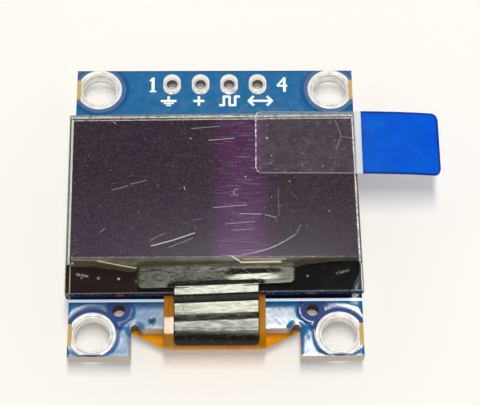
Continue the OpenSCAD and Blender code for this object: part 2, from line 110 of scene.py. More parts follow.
def addNode(tree, kind, values=None, **settings):
    node = tree.nodes.new(kind)
    for key, value in settings.items():
        setattr(node, key, value)
    for key, value in (values or {}).items():
        if isinstance(value, bpy.types.NodeSocket):
            tree.links.new(value, node.inputs[key])
        else:
            node.inputs[key].default_value = value
    return node


def calc(tree, operation, *values, clamp=False):
    node = addNode(tree, "ShaderNodeMath", dict(enumerate(values)), operation=operation, use_clamp=clamp)
    return node.outputs[0]


def largest(tree, *masks):
    result = masks[0]
    for mask in masks[1:]:
        result = calc(tree, "MAXIMUM", result, mask)
    return result


def smallest(tree, *values):
    result = values[0]
    for value in values[1:]:
        result = calc(tree, "MINIMUM", result, value)
    return result


def ramp(tree, value, low, high, fromValue=0.0, toValue=1.0):  # smooth step, also downwards
    node = addNode(tree, "ShaderNodeMapRange", {"Value": value, "From Min": low, "From Max": high,
                   "To Min": fromValue, "To Max": toValue}, interpolation_type="SMOOTHSTEP")
    return node.outputs["Result"]


def mixColour(tree, mask, first, second, mode="MIX"):
    node = addNode(tree, "ShaderNodeMix", {0: mask, 6: first, 7: second}, data_type="RGBA", blend_type=mode)
    return node.outputs[2]


def vectorCalc(tree, operation, *values):
    return addNode(tree, "ShaderNodeVectorMath", dict(enumerate(values)), operation=operation)


def placeIn(tree, centre=(0, 0, 0), turn=0.0):  # object coordinates in millimetres, seen from a turned frame
    coords = addNode(tree, "ShaderNodeTexCoord")
    return addNode(tree, "ShaderNodeMapping", {"Vector": coords.outputs["Object"],
                   "Location": tuple(c / 1000 for c in centre), "Rotation": (0, 0, turn),
                   "Scale": (0.001, 0.001, 0.001)}, vector_type="TEXTURE").outputs[0]


def startGroup(name, inputs, outputs):
    tree = bpy.data.node_groups.new(name, "ShaderNodeTree")
    for label, kind, value in inputs:
        socket = tree.interface.new_socket(label, in_out="INPUT", socket_type="NodeSocket" + kind)
        if value is not None:
            socket.default_value = value
    for label, kind in outputs:
        tree.interface.new_socket(label, in_out="OUTPUT", socket_type="NodeSocket" + kind)
    return tree, tree.nodes.new("NodeGroupInput").outputs, tree.nodes.new("NodeGroupOutput").inputs


def useGroup(tree, group, values):
    node = tree.nodes.new("ShaderNodeGroup")
    node.node_tree = group
    for key, value in values.items():
        if isinstance(value, bpy.types.NodeSocket):
            tree.links.new(value, node.inputs[key])
        else:
            node.inputs[key].default_value = value
    return node.outputs[0]


# ---- shared effects

# softGrain: a noise between two levels
softGrain, given, out = startGroup("softGrain", [("Place", "Vector", None), ("Scale", "Float", 1.0),
                                   ("Detail", "Float", 3.0), ("Low", "Float", 0.4), ("High", "Float", 0.6)], [("Mask", "Float")])
noise = addNode(softGrain, "ShaderNodeTexNoise", {"Vector": given["Place"], "Scale": given["Scale"], "Detail": given["Detail"]})
softGrain.links.new(ramp(softGrain, noise.outputs[0], given["Low"], given["High"]), out["Mask"])

# lineMark: a straight scratch from one point to another, thinning out to its ends
lineMark, given, out = startGroup("lineMark", [("Place", "Vector", None), ("From", "Vector", None), ("To", "Vector", None),
                                  ("Width", "Float", 0.05), ("Soft", "Float", 0.05)], [("Mask", "Float")])
flat = vectorCalc(lineMark, "MULTIPLY", given["Place"], (1, 1, 0)).outputs[0]
toPlace = vectorCalc(lineMark, "SUBTRACT", flat, given["From"]).outputs[0]
along = vectorCalc(lineMark, "SUBTRACT", given["To"], given["From"]).outputs[0]
share = calc(lineMark, "DIVIDE", vectorCalc(lineMark, "DOT_PRODUCT", toPlace, along).outputs["Value"],
             vectorCalc(lineMark, "DOT_PRODUCT", along, along).outputs["Value"], clamp=True)
nearest = addNode(lineMark, "ShaderNodeVectorMath", {0: along, "Scale": share}, operation="SCALE").outputs[0]
away = vectorCalc(lineMark, "DISTANCE", toPlace, nearest).outputs["Value"]
edge = calc(lineMark, "ADD", given["Width"], given["Soft"])
lineMark.links.new(ramp(lineMark, away, given["Width"], edge, 1.0, 0.0), out["Mask"])

# discDistance: how far outside a circle, below zero inside it
discDistance, given, out = startGroup("discDistance", [("Place", "Vector", None), ("Centre", "Vector", None),
                                      ("Radius", "Float", 1.0)], [("Distance", "Float")])
flat = vectorCalc(discDistance, "MULTIPLY", given["Place"], (1, 1, 0)).outputs[0]
away = vectorCalc(discDistance, "DISTANCE", flat, given["Centre"]).outputs["Value"]
discDistance.links.new(calc(discDistance, "SUBTRACT", away, given["Radius"]), out["Distance"])

# plateDistance: how far outside a rectangle, below zero inside it
plateDistance, given, out = startGroup("plateDistance", [("Place", "Vector", None), ("Centre", "Vector", None),
                                       ("Half", "Vector", None)], [("Distance", "Float")])
offset = vectorCalc(plateDistance, "ABSOLUTE", vectorCalc(plateDistance, "SUBTRACT", given["Place"], given["Centre"]).outputs[0]).outputs[0]
over = addNode(plateDistance, "ShaderNodeSeparateXYZ", {0: vectorCalc(plateDistance, "SUBTRACT", offset, given["Half"]).outputs[0]})
outside = addNode(plateDistance, "ShaderNodeCombineXYZ", {"X": calc(plateDistance, "MAXIMUM", over.outputs[0], 0.0),
                  "Y": calc(plateDistance, "MAXIMUM", over.outputs[1], 0.0)})
length = vectorCalc(plateDistance, "LENGTH", outside.outputs[0]).outputs["Value"]
inner = calc(plateDistance, "MINIMUM", calc(plateDistance, "MAXIMUM", over.outputs[0], over.outputs[1]), 0.0)
plateDistance.links.new(calc(plateDistance, "ADD", length, inner), out["Distance"])

# hairScratches: many short straight hairlines in one direction
hairScratches, given, out = startGroup("hairScratches", [("Place", "Vector", None), ("Turn", "Float", 0.0), ("Spacing", "Float", 0.5),
                                       ("Stretch", "Float", 12.0), ("Size", "Float", 0.05)], [("Mask", "Float")])
turned = addNode(hairScratches, "ShaderNodeVectorRotate", {"Vector": given["Place"], "Angle": given["Turn"]}, rotation_type="Z_AXIS")
cells = addNode(hairScratches, "ShaderNodeCombineXYZ", {"X": calc(hairScratches, "DIVIDE", 1.0, given["Stretch"]), "Y": 1.0, "Z": 0.0})
squeezed = vectorCalc(hairScratches, "MULTIPLY", turned.outputs[0], cells.outputs[0]).outputs[0]
bent = addNode(hairScratches, "ShaderNodeTexNoise", {"Vector": given["Place"], "Scale": 0.35, "Detail": 1.0})
shifted = vectorCalc(hairScratches, "ADD", squeezed, bent.outputs["Color"]).outputs[0]
points = addNode(hairScratches, "ShaderNodeTexVoronoi", {"Vector": shifted, "Scale": calc(hairScratches, "DIVIDE", 1.0, given["Spacing"])},
                 voronoi_dimensions="2D")
hairScratches.links.new(ramp(hairScratches, points.outputs["Distance"], given["Size"], calc(hairScratches, "MULTIPLY", given["Size"], 0.4),
                        0.0, 1.0), out["Mask"])

# dustSpecks: small round specks of uneven size
dustSpecks, given, out = startGroup("dustSpecks", [("Place", "Vector", None), ("Spacing", "Float", 0.5), ("Size", "Float", 0.1)],
                                    [("Mask", "Float")])
points = addNode(dustSpecks, "ShaderNodeTexVoronoi", {"Vector": given["Place"], "Scale": calc(dustSpecks, "DIVIDE", 1.0, given["Spacing"])},
                 voronoi_dimensions="2D")
picked = addNode(dustSpecks, "ShaderNodeSeparateColor", {0: points.outputs["Color"]})
size = calc(dustSpecks, "MULTIPLY", calc(dustSpecks, "POWER", picked.outputs[2], 4.0), given["Size"])
dustSpecks.links.new(calc(dustSpecks, "LESS_THAN", points.outputs["Distance"], size), out["Mask"])
print("shared effects ready")


def newFinish(name, base, roughness, **sockets):
    finish = bpy.data.materials.new(name)
    finish.use_nodes = True
    tree = finish.node_tree
    shader = tree.nodes["Principled BSDF"]
    shader.inputs["Base Color"].default_value = base
    shader.inputs["Roughness"].default_value = roughness
    for key, value in sockets.items():
        shader.inputs[{"ior": "IOR", "metallic": "Metallic", "coat": "Coat Weight", "coatRoughness": "Coat Roughness",
                       "specular": "Specular IOR Level", "transmission": "Transmission Weight", "subsurface": "Subsurface Weight",
                       "alpha": "Alpha"}[key]].default_value = value
    return finish, tree, shader


def bumpFrom(tree, shader, height, depth, under=None, strength=1.0):  # depth in millimetres
    values = {"Height": height, "Distance": depth / 1000, "Strength": strength}
    if under is not None:
        values["Normal"] = under
    bump = addNode(tree, "ShaderNodeBump", values)
    tree.links.new(bump.outputs[0], shader.inputs["Normal"])
    return bump.outputs[0]


def feed(tree, socket, shader, name):
    tree.links.new(socket, shader.inputs[name])


# floor and lamp
floorFinish, tree, shader = newFinish("floorPaper", tint(*studio["floorColour"]), studio["floorRoughness"], specular=0.1)
paper = useGroup(tree, softGrain, {"Place": placeIn(tree), "Scale": 0.02, "Detail": 1.0, "Low": 0.35, "High": 0.65})
feed(tree, mixColour(tree, paper, tint(*studio["floorColour"]), tint(230, 228, 224)), shader, "Base Color")
path = addNode(tree, "ShaderNodeLightPath")
seen = largest(tree, path.outputs["Is Camera Ray"], path.outputs["Is Glossy Ray"], path.outputs["Is Transmission Ray"])
shader.inputs["Emission Color"].default_value = tint(250, 247, 242)
tree.links.new(calc(tree, "MULTIPLY", seen, studio["floorLift"]), shader.inputs["Emission Strength"])
bm = bmesh.new()
bmesh.ops.create_grid(bm, x_segments=1, y_segments=1, size=studio["floorSize"] / 2)
bmesh.ops.translate(bm, verts=bm.verts, vec=(0, 0, cadBox[0].z))
floorMesh = bpy.data.meshes.new("floor")
bm.to_mesh(floorMesh)
bm.free()
floorMesh.materials.append(floorFinish)
floor = bpy.data.objects.new("floor", floorMesh)
scene.collection.objects.link(floor)

lampData = bpy.data.lights.new("stripLamp", "AREA")
lampData.shape = "RECTANGLE"
lampData.size, lampData.size_y = studio["lampWidth"], studio["lampLength"]
lampData.energy = studio["lampPower"]
lampData.color = (1.0, 0.98, 0.925)
lamp = bpy.data.objects.new("stripLamp", lampData)
sideTurn, backTurn = (math.radians(a) for a in studio["lampAim"])
lampWay = Vector((math.tan(sideTurn), math.tan(backTurn), 1)).normalized()
lamp.matrix_world = Matrix.Translation(lampWay * studio["lampDistance"]) @ Matrix.Rotation(-backTurn, 4, "X") @ Matrix.Rotation(sideTurn, 4, "Y")
scene.collection.objects.link(lamp)

world = bpy.data.worlds.new("studio")
scene.world = world
world.use_nodes = True
tree = world.node_tree
background = tree.nodes["Background"]
way = addNode(tree, "ShaderNodeSeparateXYZ", {0: addNode(tree, "ShaderNodeTexCoord").outputs["Generated"]})
height = ramp(tree, way.outputs["Z"], 0.0, 0.9)
tree.links.new(mixColour(tree, height, studio["worldSide"] + (1,), studio["worldUp"] + (1,)), background.inputs["Color"])
walls = ramp(tree, way.outputs["Z"], 0.82, 0.5)
inFront = ramp(tree, way.outputs["Y"], -0.15, -0.6)
wallLevel = calc(tree, "MULTIPLY", walls, ramp(tree, inFront, 0.0, 1.0, studio["wallStrength"] - studio["ceilingStrength"], studio["frontStrength"] - studio["ceilingStrength"]))
level = calc(tree, "ADD", wallLevel, studio["ceilingStrength"])
seen = addNode(tree, "ShaderNodeLightPath").outputs["Is Camera Ray"]
tree.links.new(largest(tree, level, calc(tree, "MULTIPLY", seen, 0.95)), background.inputs["Strength"])
print("camera, floor and light ready")


# ---- helpers for shapes

def finishPiece(name, bm, finishes, replaced=(), sharp=35.0, recalc=True):
    bmesh.ops.scale(bm, vec=(0.001, 0.001, 0.001), verts=bm.verts)
    if recalc:
        bmesh.ops.recalc_face_normals(bm, faces=bm.faces)
    mesh = bpy.data.meshes.new(name)
    bm.to_mesh(mesh)
    bm.free()
    for finish in finishes:
        mesh.materials.append(finish)
    mesh.shade_smooth()
    mesh.set_sharp_from_angle(angle=math.radians(sharp))
    piece = bpy.data.objects.new(name, mesh)
    scene.collection.objects.link(piece)
    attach(piece, "root")
    if replaced:
        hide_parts(*replaced)
    return piece


def onPanel(bm):  # from the panel's own frame to the board's
    x, y = panel["centre"].x, panel["centre"].y
    bmesh.ops.rotate(bm, verts=bm.verts, cent=(0, 0, 0), matrix=Matrix.Rotation(panel["turn"], 3, "Z"))
    bmesh.ops.translate(bm, verts=bm.verts, vec=(x, y, 0))


def loftLoops(bm, loops, centre, segments):
    # each loop is a circle (radius, pull, height); pull parts its two halves along y
    rings = []
    for radius, pull, height in loops:
        verts = bmesh.ops.create_circle(bm, cap_ends=False, segments=segments, radius=radius)["verts"]
        for v in verts:
            if abs(v.co.y) > radius * 0.01:
                v.co.y += math.copysign(pull, v.co.y)
        bmesh.ops.translate(bm, verts=verts, vec=(centre[0], centre[1], height))
        own = set(verts)
        rings.append(list({e for v in verts for e in v.link_edges if e.other_vert(v) in own}))
    for first, second in zip(rings, rings[1:] + rings[:1]):
        bmesh.ops.bridge_loops(bm, edges=first + second)


def clipAt(bm, point, normal):  # cuts off what lies past a plane and closes the cut
    cut = bmesh.ops.bisect_plane(bm, geom=bm.verts[:] + bm.edges[:] + bm.faces[:], dist=1e-5, plane_co=point,
                                 plane_no=normal, clear_outer=True)["geom_cut"]
    edges = [e for e in cut if isinstance(e, bmesh.types.BMEdge)]
    if edges:
        bmesh.ops.edgeloop_fill(bm, edges=edges)


def addBar(bm, start, end, width, low, high):  # a flat bar from one point to another
    start, end = Vector((*start, 0)), Vector((*end, 0))
    way = end - start
    place = Matrix.Translation((start + end) / 2 + Vector((0, 0, (low + high) / 2)))
    turn = Matrix.Rotation(math.atan2(way.y, way.x), 4, "Z")
    size = Matrix.Diagonal((way.length + width * 0.4, width, high - low, 1))
    bmesh.ops.create_cube(bm, size=1.0, matrix=place @ turn @ size)


def copyNode(name):  # a CAD node's mesh in millimetres, with its doubles and flat splits merged
    bm = bmesh.new()
    bm.from_mesh(nodes[name].data)
    bmesh.ops.scale(bm, vec=(1000, 1000, 1000), verts=bm.verts)
    bmesh.ops.remove_doubles(bm, verts=bm.verts, dist=0.0008)
    bmesh.ops.dissolve_limit(bm, angle_limit=math.radians(1.0), verts=bm.verts, edges=bm.edges)
    return bm


def bevelSharp(bm, width, segments=2, angle=40.0, edges=None):
    picked = [e for e in (edges or bm.edges) if e.is_valid and len(e.link_faces) == 2 and e.calc_face_angle(0) > math.radians(angle)]
    bmesh.ops.bevel(bm, geom=picked, offset=width, offset_type="OFFSET", affect="EDGES", segments=segments, profile=0.5, material=-1,
                    clamp_overlap=True)


def smoothPath(points, step):  # an even walk along a smooth curve through [y, z] points
    fine = []
    padded = [points[0]] + list(points) + [points[-1]]
    for a, b, c, d in zip(padded, padded[1:], padded[2:], padded[3:]):
        a, b, c, d = (Vector(p) for p in (a, b, c, d))
        for i in range(12):
            t = i / 12
            fine.append(0.5 * (2 * b + (c - a) * t + (2 * a - 5 * b + 4 * c - d) * t * t + (3 * b - a - 3 * c + d) * t ** 3))
    fine.append(Vector(points[-1]))
    walk, spare = [fine[0]], 0.0
    for a, b in zip(fine, fine[1:]):
        length = (b - a).length
        at = step - spare
        while at <= length:
            walk.append(a + (b - a) * at / length)
            at += step
        spare = (spare + length) % step if length + spare >= step else spare + length
    walk.append(fine[-1])
    return walk


def smoothStep(value, low, high):
    t = min(max((value - low) / (high - low), 0), 1)
    return t * t * (3 - 2 * t)


# ---- circuit board

boardFinish = {
    "pour": (6, 108, 168), "clear": (0, 62, 136), "clearFar": (2, 88, 150), "shade": (8, 22, 62), "laminate": (234, 226, 208), "laminateDark": (196, 184, 160),
    "sliver": (206, 174, 98), "roughness": 0.15, "leftRoughness": 0.27, "clearRoughness": 0.75, "edgeGap": 0.08, "notchGap": 0.08, "reliefGap": 0.14, "ringGap": 2.62, "lugGap": 2.22, "alignGap": 1.28, "padGap": 1.12,
}
notch = {"halfWidth": 7.05, "top": -11.2}
corner = (board["halfWidth"] - 2.0, board["halfLength"] - 1.95, 0)
align = (8.07, -9.55, 0)
pinRow = 12.25

finish, tree, shader = newFinish("solderMask", tint(*boardFinish["pour"]), boardFinish["roughness"], specular=0.9)
shader.inputs["Specular Tint"].default_value = (1.0, 0.99, 0.9, 1)
place = placeIn(tree)
folded = vectorCalc(tree, "ABSOLUTE", place).outputs[0]
parts = addNode(tree, "ShaderNodeSeparateXYZ", {0: place})
sideX = calc(tree, "ABSOLUTE", parts.outputs[0])
mirrored = addNode(tree, "ShaderNodeCombineXYZ", {"X": sideX, "Y": parts.outputs[1]}).outputs[0]
fromEdge = calc(tree, "MULTIPLY", useGroup(tree, plateDistance, {"Place": place, "Centre": (0, 0, 0), "Half": (board["halfWidth"], board["halfLength"], 0)}), -1.0)
fromNotch = useGroup(tree, plateDistance, {"Place": place, "Centre": (0, notch["top"] - 5, 0), "Half": (notch["halfWidth"], 5, 0)})
fromRelief = useGroup(tree, discDistance, {"Place": mirrored, "Centre": (notch["halfWidth"] - 0.35, notch["top"], 0), "Radius": 0.35})
ringReach = ramp(tree, parts.outputs[1], -10.9, -11.6, boardFinish["ringGap"], boardFinish["lugGap"])
fromRing = useGroup(tree, discDistance, {"Place": folded, "Centre": corner, "Radius": ringReach})
fromAlign = useGroup(tree, discDistance, {"Place": mirrored, "Centre": align, "Radius": boardFinish["alignGap"]})
inPour = smallest(tree, calc(tree, "SUBTRACT", fromEdge, boardFinish["edgeGap"]), calc(tree, "SUBTRACT", fromNotch, boardFinish["notchGap"]),
                  calc(tree, "SUBTRACT", fromRelief, boardFinish["reliefGap"]), fromRing, fromAlign)
relief = ramp(tree, inPour, -0.1, 0.1)
swell = ramp(tree, inPour, -0.2, 0.24)
mottle = useGroup(tree, softGrain, {"Place": place, "Scale": 0.55, "Detail": 4.0, "Low": 0.3, "High": 0.7})
pourColour = mixColour(tree, calc(tree, "MULTIPLY", mottle, 0.35), tint(*boardFinish["pour"]), tint(24, 118, 176))
farEnd = ramp(tree, parts.outputs[1], 0.0, 4.0)
clearColour = mixColour(tree, farEnd, tint(*boardFinish["clear"]), tint(*boardFinish["clearFar"]))
maskColour = mixColour(tree, relief, clearColour, pourColour)
# the mask is painted darker in a band under the panel's near edge: painted shadow of the panel's overhang
panelShadowBand = ramp(tree, useGroup(tree, plateDistance, {"Place": place, "Centre": (0, -7.3, 0), "Half": (12.3, 1.3, 0)}), -0.05, 0.03, 1.0, 0.0)
upward = ramp(tree, parts.outputs[2], -0.6, -0.5)
maskColour = mixColour(tree, calc(tree, "MULTIPLY", panelShadowBand, upward), maskColour, tint(*boardFinish["shade"]))
backRim = calc(tree, "MULTIPLY", ramp(tree, parts.outputs[1], board["halfLength"] - 0.1, board["halfLength"] - 0.06), 0.75)
maskColour = mixColour(tree, backRim, maskColour, tint(6, 34, 78))
# bare laminate beside the corner rings, where the mask's opening runs off the board
bare = ramp(tree, useGroup(tree, plateDistance, {"Place": folded, "Centre": (board["halfWidth"], corner[1], 0), "Half": (0.36, 0.98, 0)}), -0.02, 0.02, 1.0, 0.0)
facing = addNode(tree, "ShaderNodeSeparateXYZ", {0: addNode(tree, "ShaderNodeNewGeometry").outputs["True Normal"]})
onSide = ramp(tree, calc(tree, "ABSOLUTE", facing.outputs[2]), 0.45, 0.55, 1.0, 0.0)
ply = calc(tree, "SINE", calc(tree, "MULTIPLY", parts.outputs[2], 38.0))
fibre = addNode(tree, "ShaderNodeTexNoise", {"Vector": vectorCalc(tree, "MULTIPLY", place, (6, 6, 30)).outputs[0], "Scale": 1.0, "Detail": 3.0})
glassPly = ramp(tree, calc(tree, "ADD", calc(tree, "MULTIPLY", ply, 0.25), fibre.outputs[0]), 0.3, 0.75)
laminate = mixColour(tree, glassPly, tint(*boardFinish["laminateDark"]), tint(*boardFinish["laminate"]))
bareMask = largest(tree, onSide, bare)
# the walls of the notch's reliefs and of the alignment holes are painted dark brown: painted shade in these recesses
hollowShade = largest(tree, ramp(tree, fromRelief, 0.02, 0.5, 0.85, 0.0), ramp(tree, fromAlign, -0.6, -0.4, 0.9, 0.0))
laminate = mixColour(tree, hollowShade, laminate, tint(48, 34, 26))
bareColour = mixColour(tree, onSide, tint(*boardFinish["sliver"]), laminate)
feed(tree, mixColour(tree, bareMask, maskColour, bareColour), shader, "Base Color")
nearLeft = calc(tree, "MULTIPLY", ramp(tree, parts.outputs[0], 1.0, -3.0), ramp(tree, parts.outputs[1], 0.0, -6.0))
pourGloss = ramp(tree, nearLeft, 0.0, 1.0, boardFinish["roughness"], boardFinish["leftRoughness"])
gloss = ramp(tree, inPour, -0.35, -0.22, ramp(tree, farEnd, 0.0, 1.0, boardFinish["clearRoughness"], 0.3), pourGloss)
blotch = useGroup(tree, softGrain, {"Place": place, "Scale": 1.3, "Detail": 5.0, "Low": 0.35, "High": 0.65})
gloss = calc(tree, "ADD", gloss, calc(tree, "MULTIPLY", blotch, 0.06))
feed(tree, largest(tree, gloss, calc(tree, "MULTIPLY", bareMask, 0.7)), shader, "Roughness")
peel = addNode(tree, "ShaderNodeTexNoise", {"Vector": place, "Scale": 2.6, "Detail": 4.0, "Roughness": 0.6}).outputs[0]
weave = calc(tree, "MULTIPLY", calc(tree, "SINE", calc(tree, "MULTIPLY", parts.outputs[0], 11.0)), calc(tree, "SINE", calc(tree, "MULTIPLY", parts.outputs[1], 9.0)))
base = bumpFrom(tree, shader, calc(tree, "ADD", peel, calc(tree, "MULTIPLY", weave, 0.12)), 0.012, strength=0.55)
fromVia = useGroup(tree, discDistance, {"Place": place, "Centre": (-5.3, -10.45, 0), "Radius": 0.22})
tented = calc(tree, "MULTIPLY", ramp(tree, fromVia, -0.06, 0.14, 0.0, 1.0), 1.2)
# the mask rises a little beside the notch, which catches the lamp
mound = calc(tree, "MULTIPLY", ramp(tree, sideX, 7.0, 8.3), calc(tree, "MULTIPLY", ramp(tree, parts.outputs[1], -13.2, -11.9), ramp(tree, parts.outputs[1], -10.9, -11.3)))
lip = ramp(tree, fromRelief, 0.1, 0.55)
mound = calc(tree, "ADD", calc(tree, "MULTIPLY", mound, 2.1), calc(tree, "MULTIPLY", lip, 1.1))
bumpFrom(tree, shader, calc(tree, "ADD", calc(tree, "ADD", swell, tented), mound), 0.034, under=base)
nodes["circuit_board"].data.materials.clear()
nodes["circuit_board"].data.materials.append(finish)
viaFinish = finish
nodes["via_pads"].data.materials.clear()
nodes["via_pads"].data.materials.append(viaFinish)
print("circuit board finished")


# ---- plated corner rings and header pads

plating = {
    "holeRadius": 1.5, "wall": 0.025, "ringRadius": 2.0, "dome": 0.035, "pinHole": 0.5, "padHalf": 0.785, "padPull": 0.265,
    "sideCut": 0.35, "endCut": (0.03, 0.2), "colour": (248, 247, 243), "dull": (232, 230, 225),
}
tinned, tree, shader = newFinish("tinnedCopper", tint(*plating["colour"]), 0.4, metallic=0.25)
place = placeIn(tree)
patch = useGroup(tree, softGrain, {"Place": place, "Scale": 1.4, "Detail": 4.0, "Low": 0.35, "High": 0.7})
parts = addNode(tree, "ShaderNodeSeparateXYZ", {0: place})
depth = parts.outputs[2]
# the barrel is painted dark near the board's back face: painted shade at the foot of the hole
barrelFootShade = calc(tree, "MULTIPLY", ramp(tree, depth, -0.95, -1.1), ramp(tree, depth, -1.24, -1.2))
tin = mixColour(tree, patch, tint(*plating["colour"]), tint(*plating["dull"]))
tin = mixColour(tree, calc(tree, "MULTIPLY", barrelFootShade, 0.75), tin, tint(96, 84, 74))
# a thin darker ring in the groove by the hole's lip: painted shade in the groove
fromLip = useGroup(tree, discDistance, {"Place": vectorCalc(tree, "ABSOLUTE", place).outputs[0], "Centre": corner, "Radius": plating["holeRadius"] + 0.17})
grooveShade = calc(tree, "MULTIPLY", ramp(tree, calc(tree, "ABSOLUTE", fromLip), 0.012, 0.035, 1.0, 0.0), ramp(tree, patch, 0.2, 0.7, 0.2, 0.75))
tin = mixColour(tree, calc(tree, "MULTIPLY", grooveShade, ramp(tree, depth, -0.06, -0.02)), tin, tint(112, 100, 92))
# flux round the pin holes' mouths, and painted shade down the holes' walls
inRow = addNode(tree, "ShaderNodeCombineXYZ", {"X": calc(tree, "SUBTRACT", calc(tree, "FLOORED_MODULO", parts.outputs[0], 2.54), 1.27), "Y": parts.outputs[1]})
fromPin = useGroup(tree, discDistance, {"Place": inRow.outputs[0], "Centre": (0, pinRow, 0), "Radius": 0.6})
inPins = ramp(tree, calc(tree, "ABSOLUTE", parts.outputs[0]), 4.8, 4.9, 1.0, 0.0)
mouth = calc(tree, "MULTIPLY", ramp(tree, calc(tree, "ABSOLUTE", fromPin), 0.02, 0.06, 1.0, 0.0), 0.45)
holeWallShade = calc(tree, "MULTIPLY", ramp(tree, depth, -0.06, -0.16), ramp(tree, depth, -0.9, -0.55, 0.35, 0.9))
feed(tree, ramp(tree, depth, -0.04, -0.14, 0.12, 0.7), shader, "Metallic")
fluxAndHoleShade = calc(tree, "MULTIPLY", largest(tree, mouth, calc(tree, "MULTIPLY", holeWallShade, ramp(tree, fromPin, -0.02, 0.0, 1.0, 0.0))), inPins)
# the pads' lower halves are painted greyer: painted shade
padLowerShade = calc(tree, "MULTIPLY", ramp(tree, parts.outputs[1], pinRow - 0.2, pinRow - 0.8), calc(tree, "MULTIPLY", inPins, ramp(tree, patch, 0.0, 1.0, 0.2, 0.75)))
tin = mixColour(tree, padLowerShade, tin, tint(150, 158, 156))
feed(tree, mixColour(tree, fluxAndHoleShade, tin, tint(112, 94, 82)), shader, "Base Color")
feed(tree, ramp(tree, patch, 0.0, 1.0, 0.32, 0.5), shader, "Roughness")
ripple = addNode(tree, "ShaderNodeTexNoise", {"Vector": place, "Scale": 1.7, "Detail": 3.0, "Distortion": 0.6}).outputs[0]
bumpFrom(tree, shader, ripple, 0.05, strength=0.5)


def platedLoops(hole, wall, outer, dome, pull, thickness):
    lip = hole + min(0.2, (outer - hole) * 0.5)
    top = [(outer, pull, -0.004), (outer - 0.015, pull, dome * 0.6), (outer - 0.05, pull, dome * 0.96), (lip, pull * (lip - hole) / (outer - hole), dome),
           (lip - 0.03, 0, dome * 0.35), (lip - 0.07, 0, dome * 0.9), (hole + 0.03, 0, dome * 0.8), (hole, 0, dome * 0.2), (hole - wall, 0, -0.06)]
    under = [(radius, pulled, -thickness - height) for radius, pulled, height in reversed(top)]
    return top + under + [(hole + 0.1, 0, 0.03 - thickness), (hole + 0.1, 0, -0.03)]


thickness = -board["back"]
for i in range(4):
    side, end = (-1, 1)[i % 2], (1, -1)[i // 2]
    centre = (side * corner[0], end * corner[1])
    bm = bmesh.new()
    loftLoops(bm, platedLoops(plating["holeRadius"], plating["wall"], plating["ringRadius"], plating["dome"], 0, thickness), centre, 96)
    bmesh.ops.recalc_face_normals(bm, faces=bm.faces)
    clipAt(bm, (side * (board["halfWidth"] - plating["sideCut"]), 0, 0), (side, 0, 0))
    clipAt(bm, (0, end * (board["halfLength"] - plating["endCut"][i // 2]), 0), (0, end, 0))
    finishPiece(f"platedRing{i + 1}", bm, [tinned], [f"mounting_ring_{i + 1}"], sharp=50)
for i in range(4):
    bm = bmesh.new()
    loftLoops(bm, platedLoops(plating["pinHole"], plating["wall"], plating["padHalf"], plating["dome"], plating["padPull"], thickness),
              ((i - 1.5) * 2.54, pinRow), 64)
    finishPiece(f"platedPad{i + 1}", bm, [tinned], [f"header_pad_{i + 1}"], sharp=50)
print("plated rings and pads made")


# ---- white print on the board

printed = {"low": -0.004, "high": 0.022, "stroke": 0.22, "colour": (250, 252, 253)}
ink, tree, shader = newFinish("whiteInk", tint(*printed["colour"]), 0.45)
# the ink glows a little, and more on the long line under the panel's edge: painted light that lifts the print out of
# the panel's shadow
shader.inputs["Emission Strength"].default_value = 0.6
outlineGlow = ramp(tree, addNode(tree, "ShaderNodeSeparateXYZ", {0: placeIn(tree)}).outputs[1], -8.0, -8.2)
feed(tree, mixColour(tree, outlineGlow, tint(152, 164, 174), tint(200, 218, 236)), shader, "Emission Color")
grain = useGroup(tree, softGrain, {"Place": placeIn(tree), "Scale": 5.0, "Detail": 4.0, "Low": 0.3, "High": 0.75})
along = addNode(tree, "ShaderNodeSeparateXYZ", {0: placeIn(tree)})
offLine = calc(tree, "ABSOLUTE", calc(tree, "ADD", along.outputs[1], 8.67))
nearLine = calc(tree, "MULTIPLY", ramp(tree, offLine, 0.06, 0.1), ramp(tree, offLine, 0.2, 0.25, 1.0, 0.0))
bead = ramp(tree, calc(tree, "SINE", calc(tree, "MULTIPLY", along.outputs[0], 24.0)), -0.1, 0.4)
inkColour = mixColour(tree, grain, tint(*printed["colour"]), tint(226, 236, 243))
feed(tree, mixColour(tree, calc(tree, "MULTIPLY", calc(tree, "MULTIPLY", nearLine, bead), 0.8), inkColour, tint(40, 96, 160)), shader, "Base Color")
bumpFrom(tree, shader, grain, 0.01)


def printPiece(name, bars):
    bm = bmesh.new()
    for start, end, width in bars:
        addBar(bm, start, end, width, printed["low"], printed["high"])
    return finishPiece(name, bm, [ink], recalc=False)


stroke = printed["stroke"]
printPiece("digitOne", [((-5.5, 11.52), (-5.5, 12.9), 0.27), ((-5.76, 11.52), (-5.24, 11.52), 0.15), ((-5.76, 12.62), (-5.54, 12.86), 0.16)])
printPiece("digitFour", [((6.2, 11.52), (6.2, 12.9), 0.25), ((5.58, 12.1), (6.16, 12.84), 0.17), ((5.58, 12.08), (6.42, 12.08), 0.18)])
y0, y1 = 10.1, 10.98
mid = (y0 + y1) / 2
printPiece("groundMark", [((-4.1, mid + 0.05), (-4.1, y1), stroke), ((-4.75, mid), (-3.45, mid), stroke), ((-4.52, mid - 0.24), (-3.68, mid - 0.24), 0.14),
                          ((-4.28, y0), (-3.92, y0), 0.14)])
printPiece("supplyMark", [((-1.42, y0), (-1.42, y1), stroke), ((-1.86, mid), (-0.98, mid), stroke)])
printPiece("clockMark", [((0.42, y0), (0.8, y0), stroke), ((0.8, y0), (0.8, y1), stroke), ((0.8, y1), (1.3, y1), stroke), ((1.3, y1), (1.3, y0), stroke),
                         ((1.3, y0), (1.8, y0), stroke), ((1.8, y0), (1.8, y1), stroke), ((1.8, y1), (2.18, y1), stroke)])
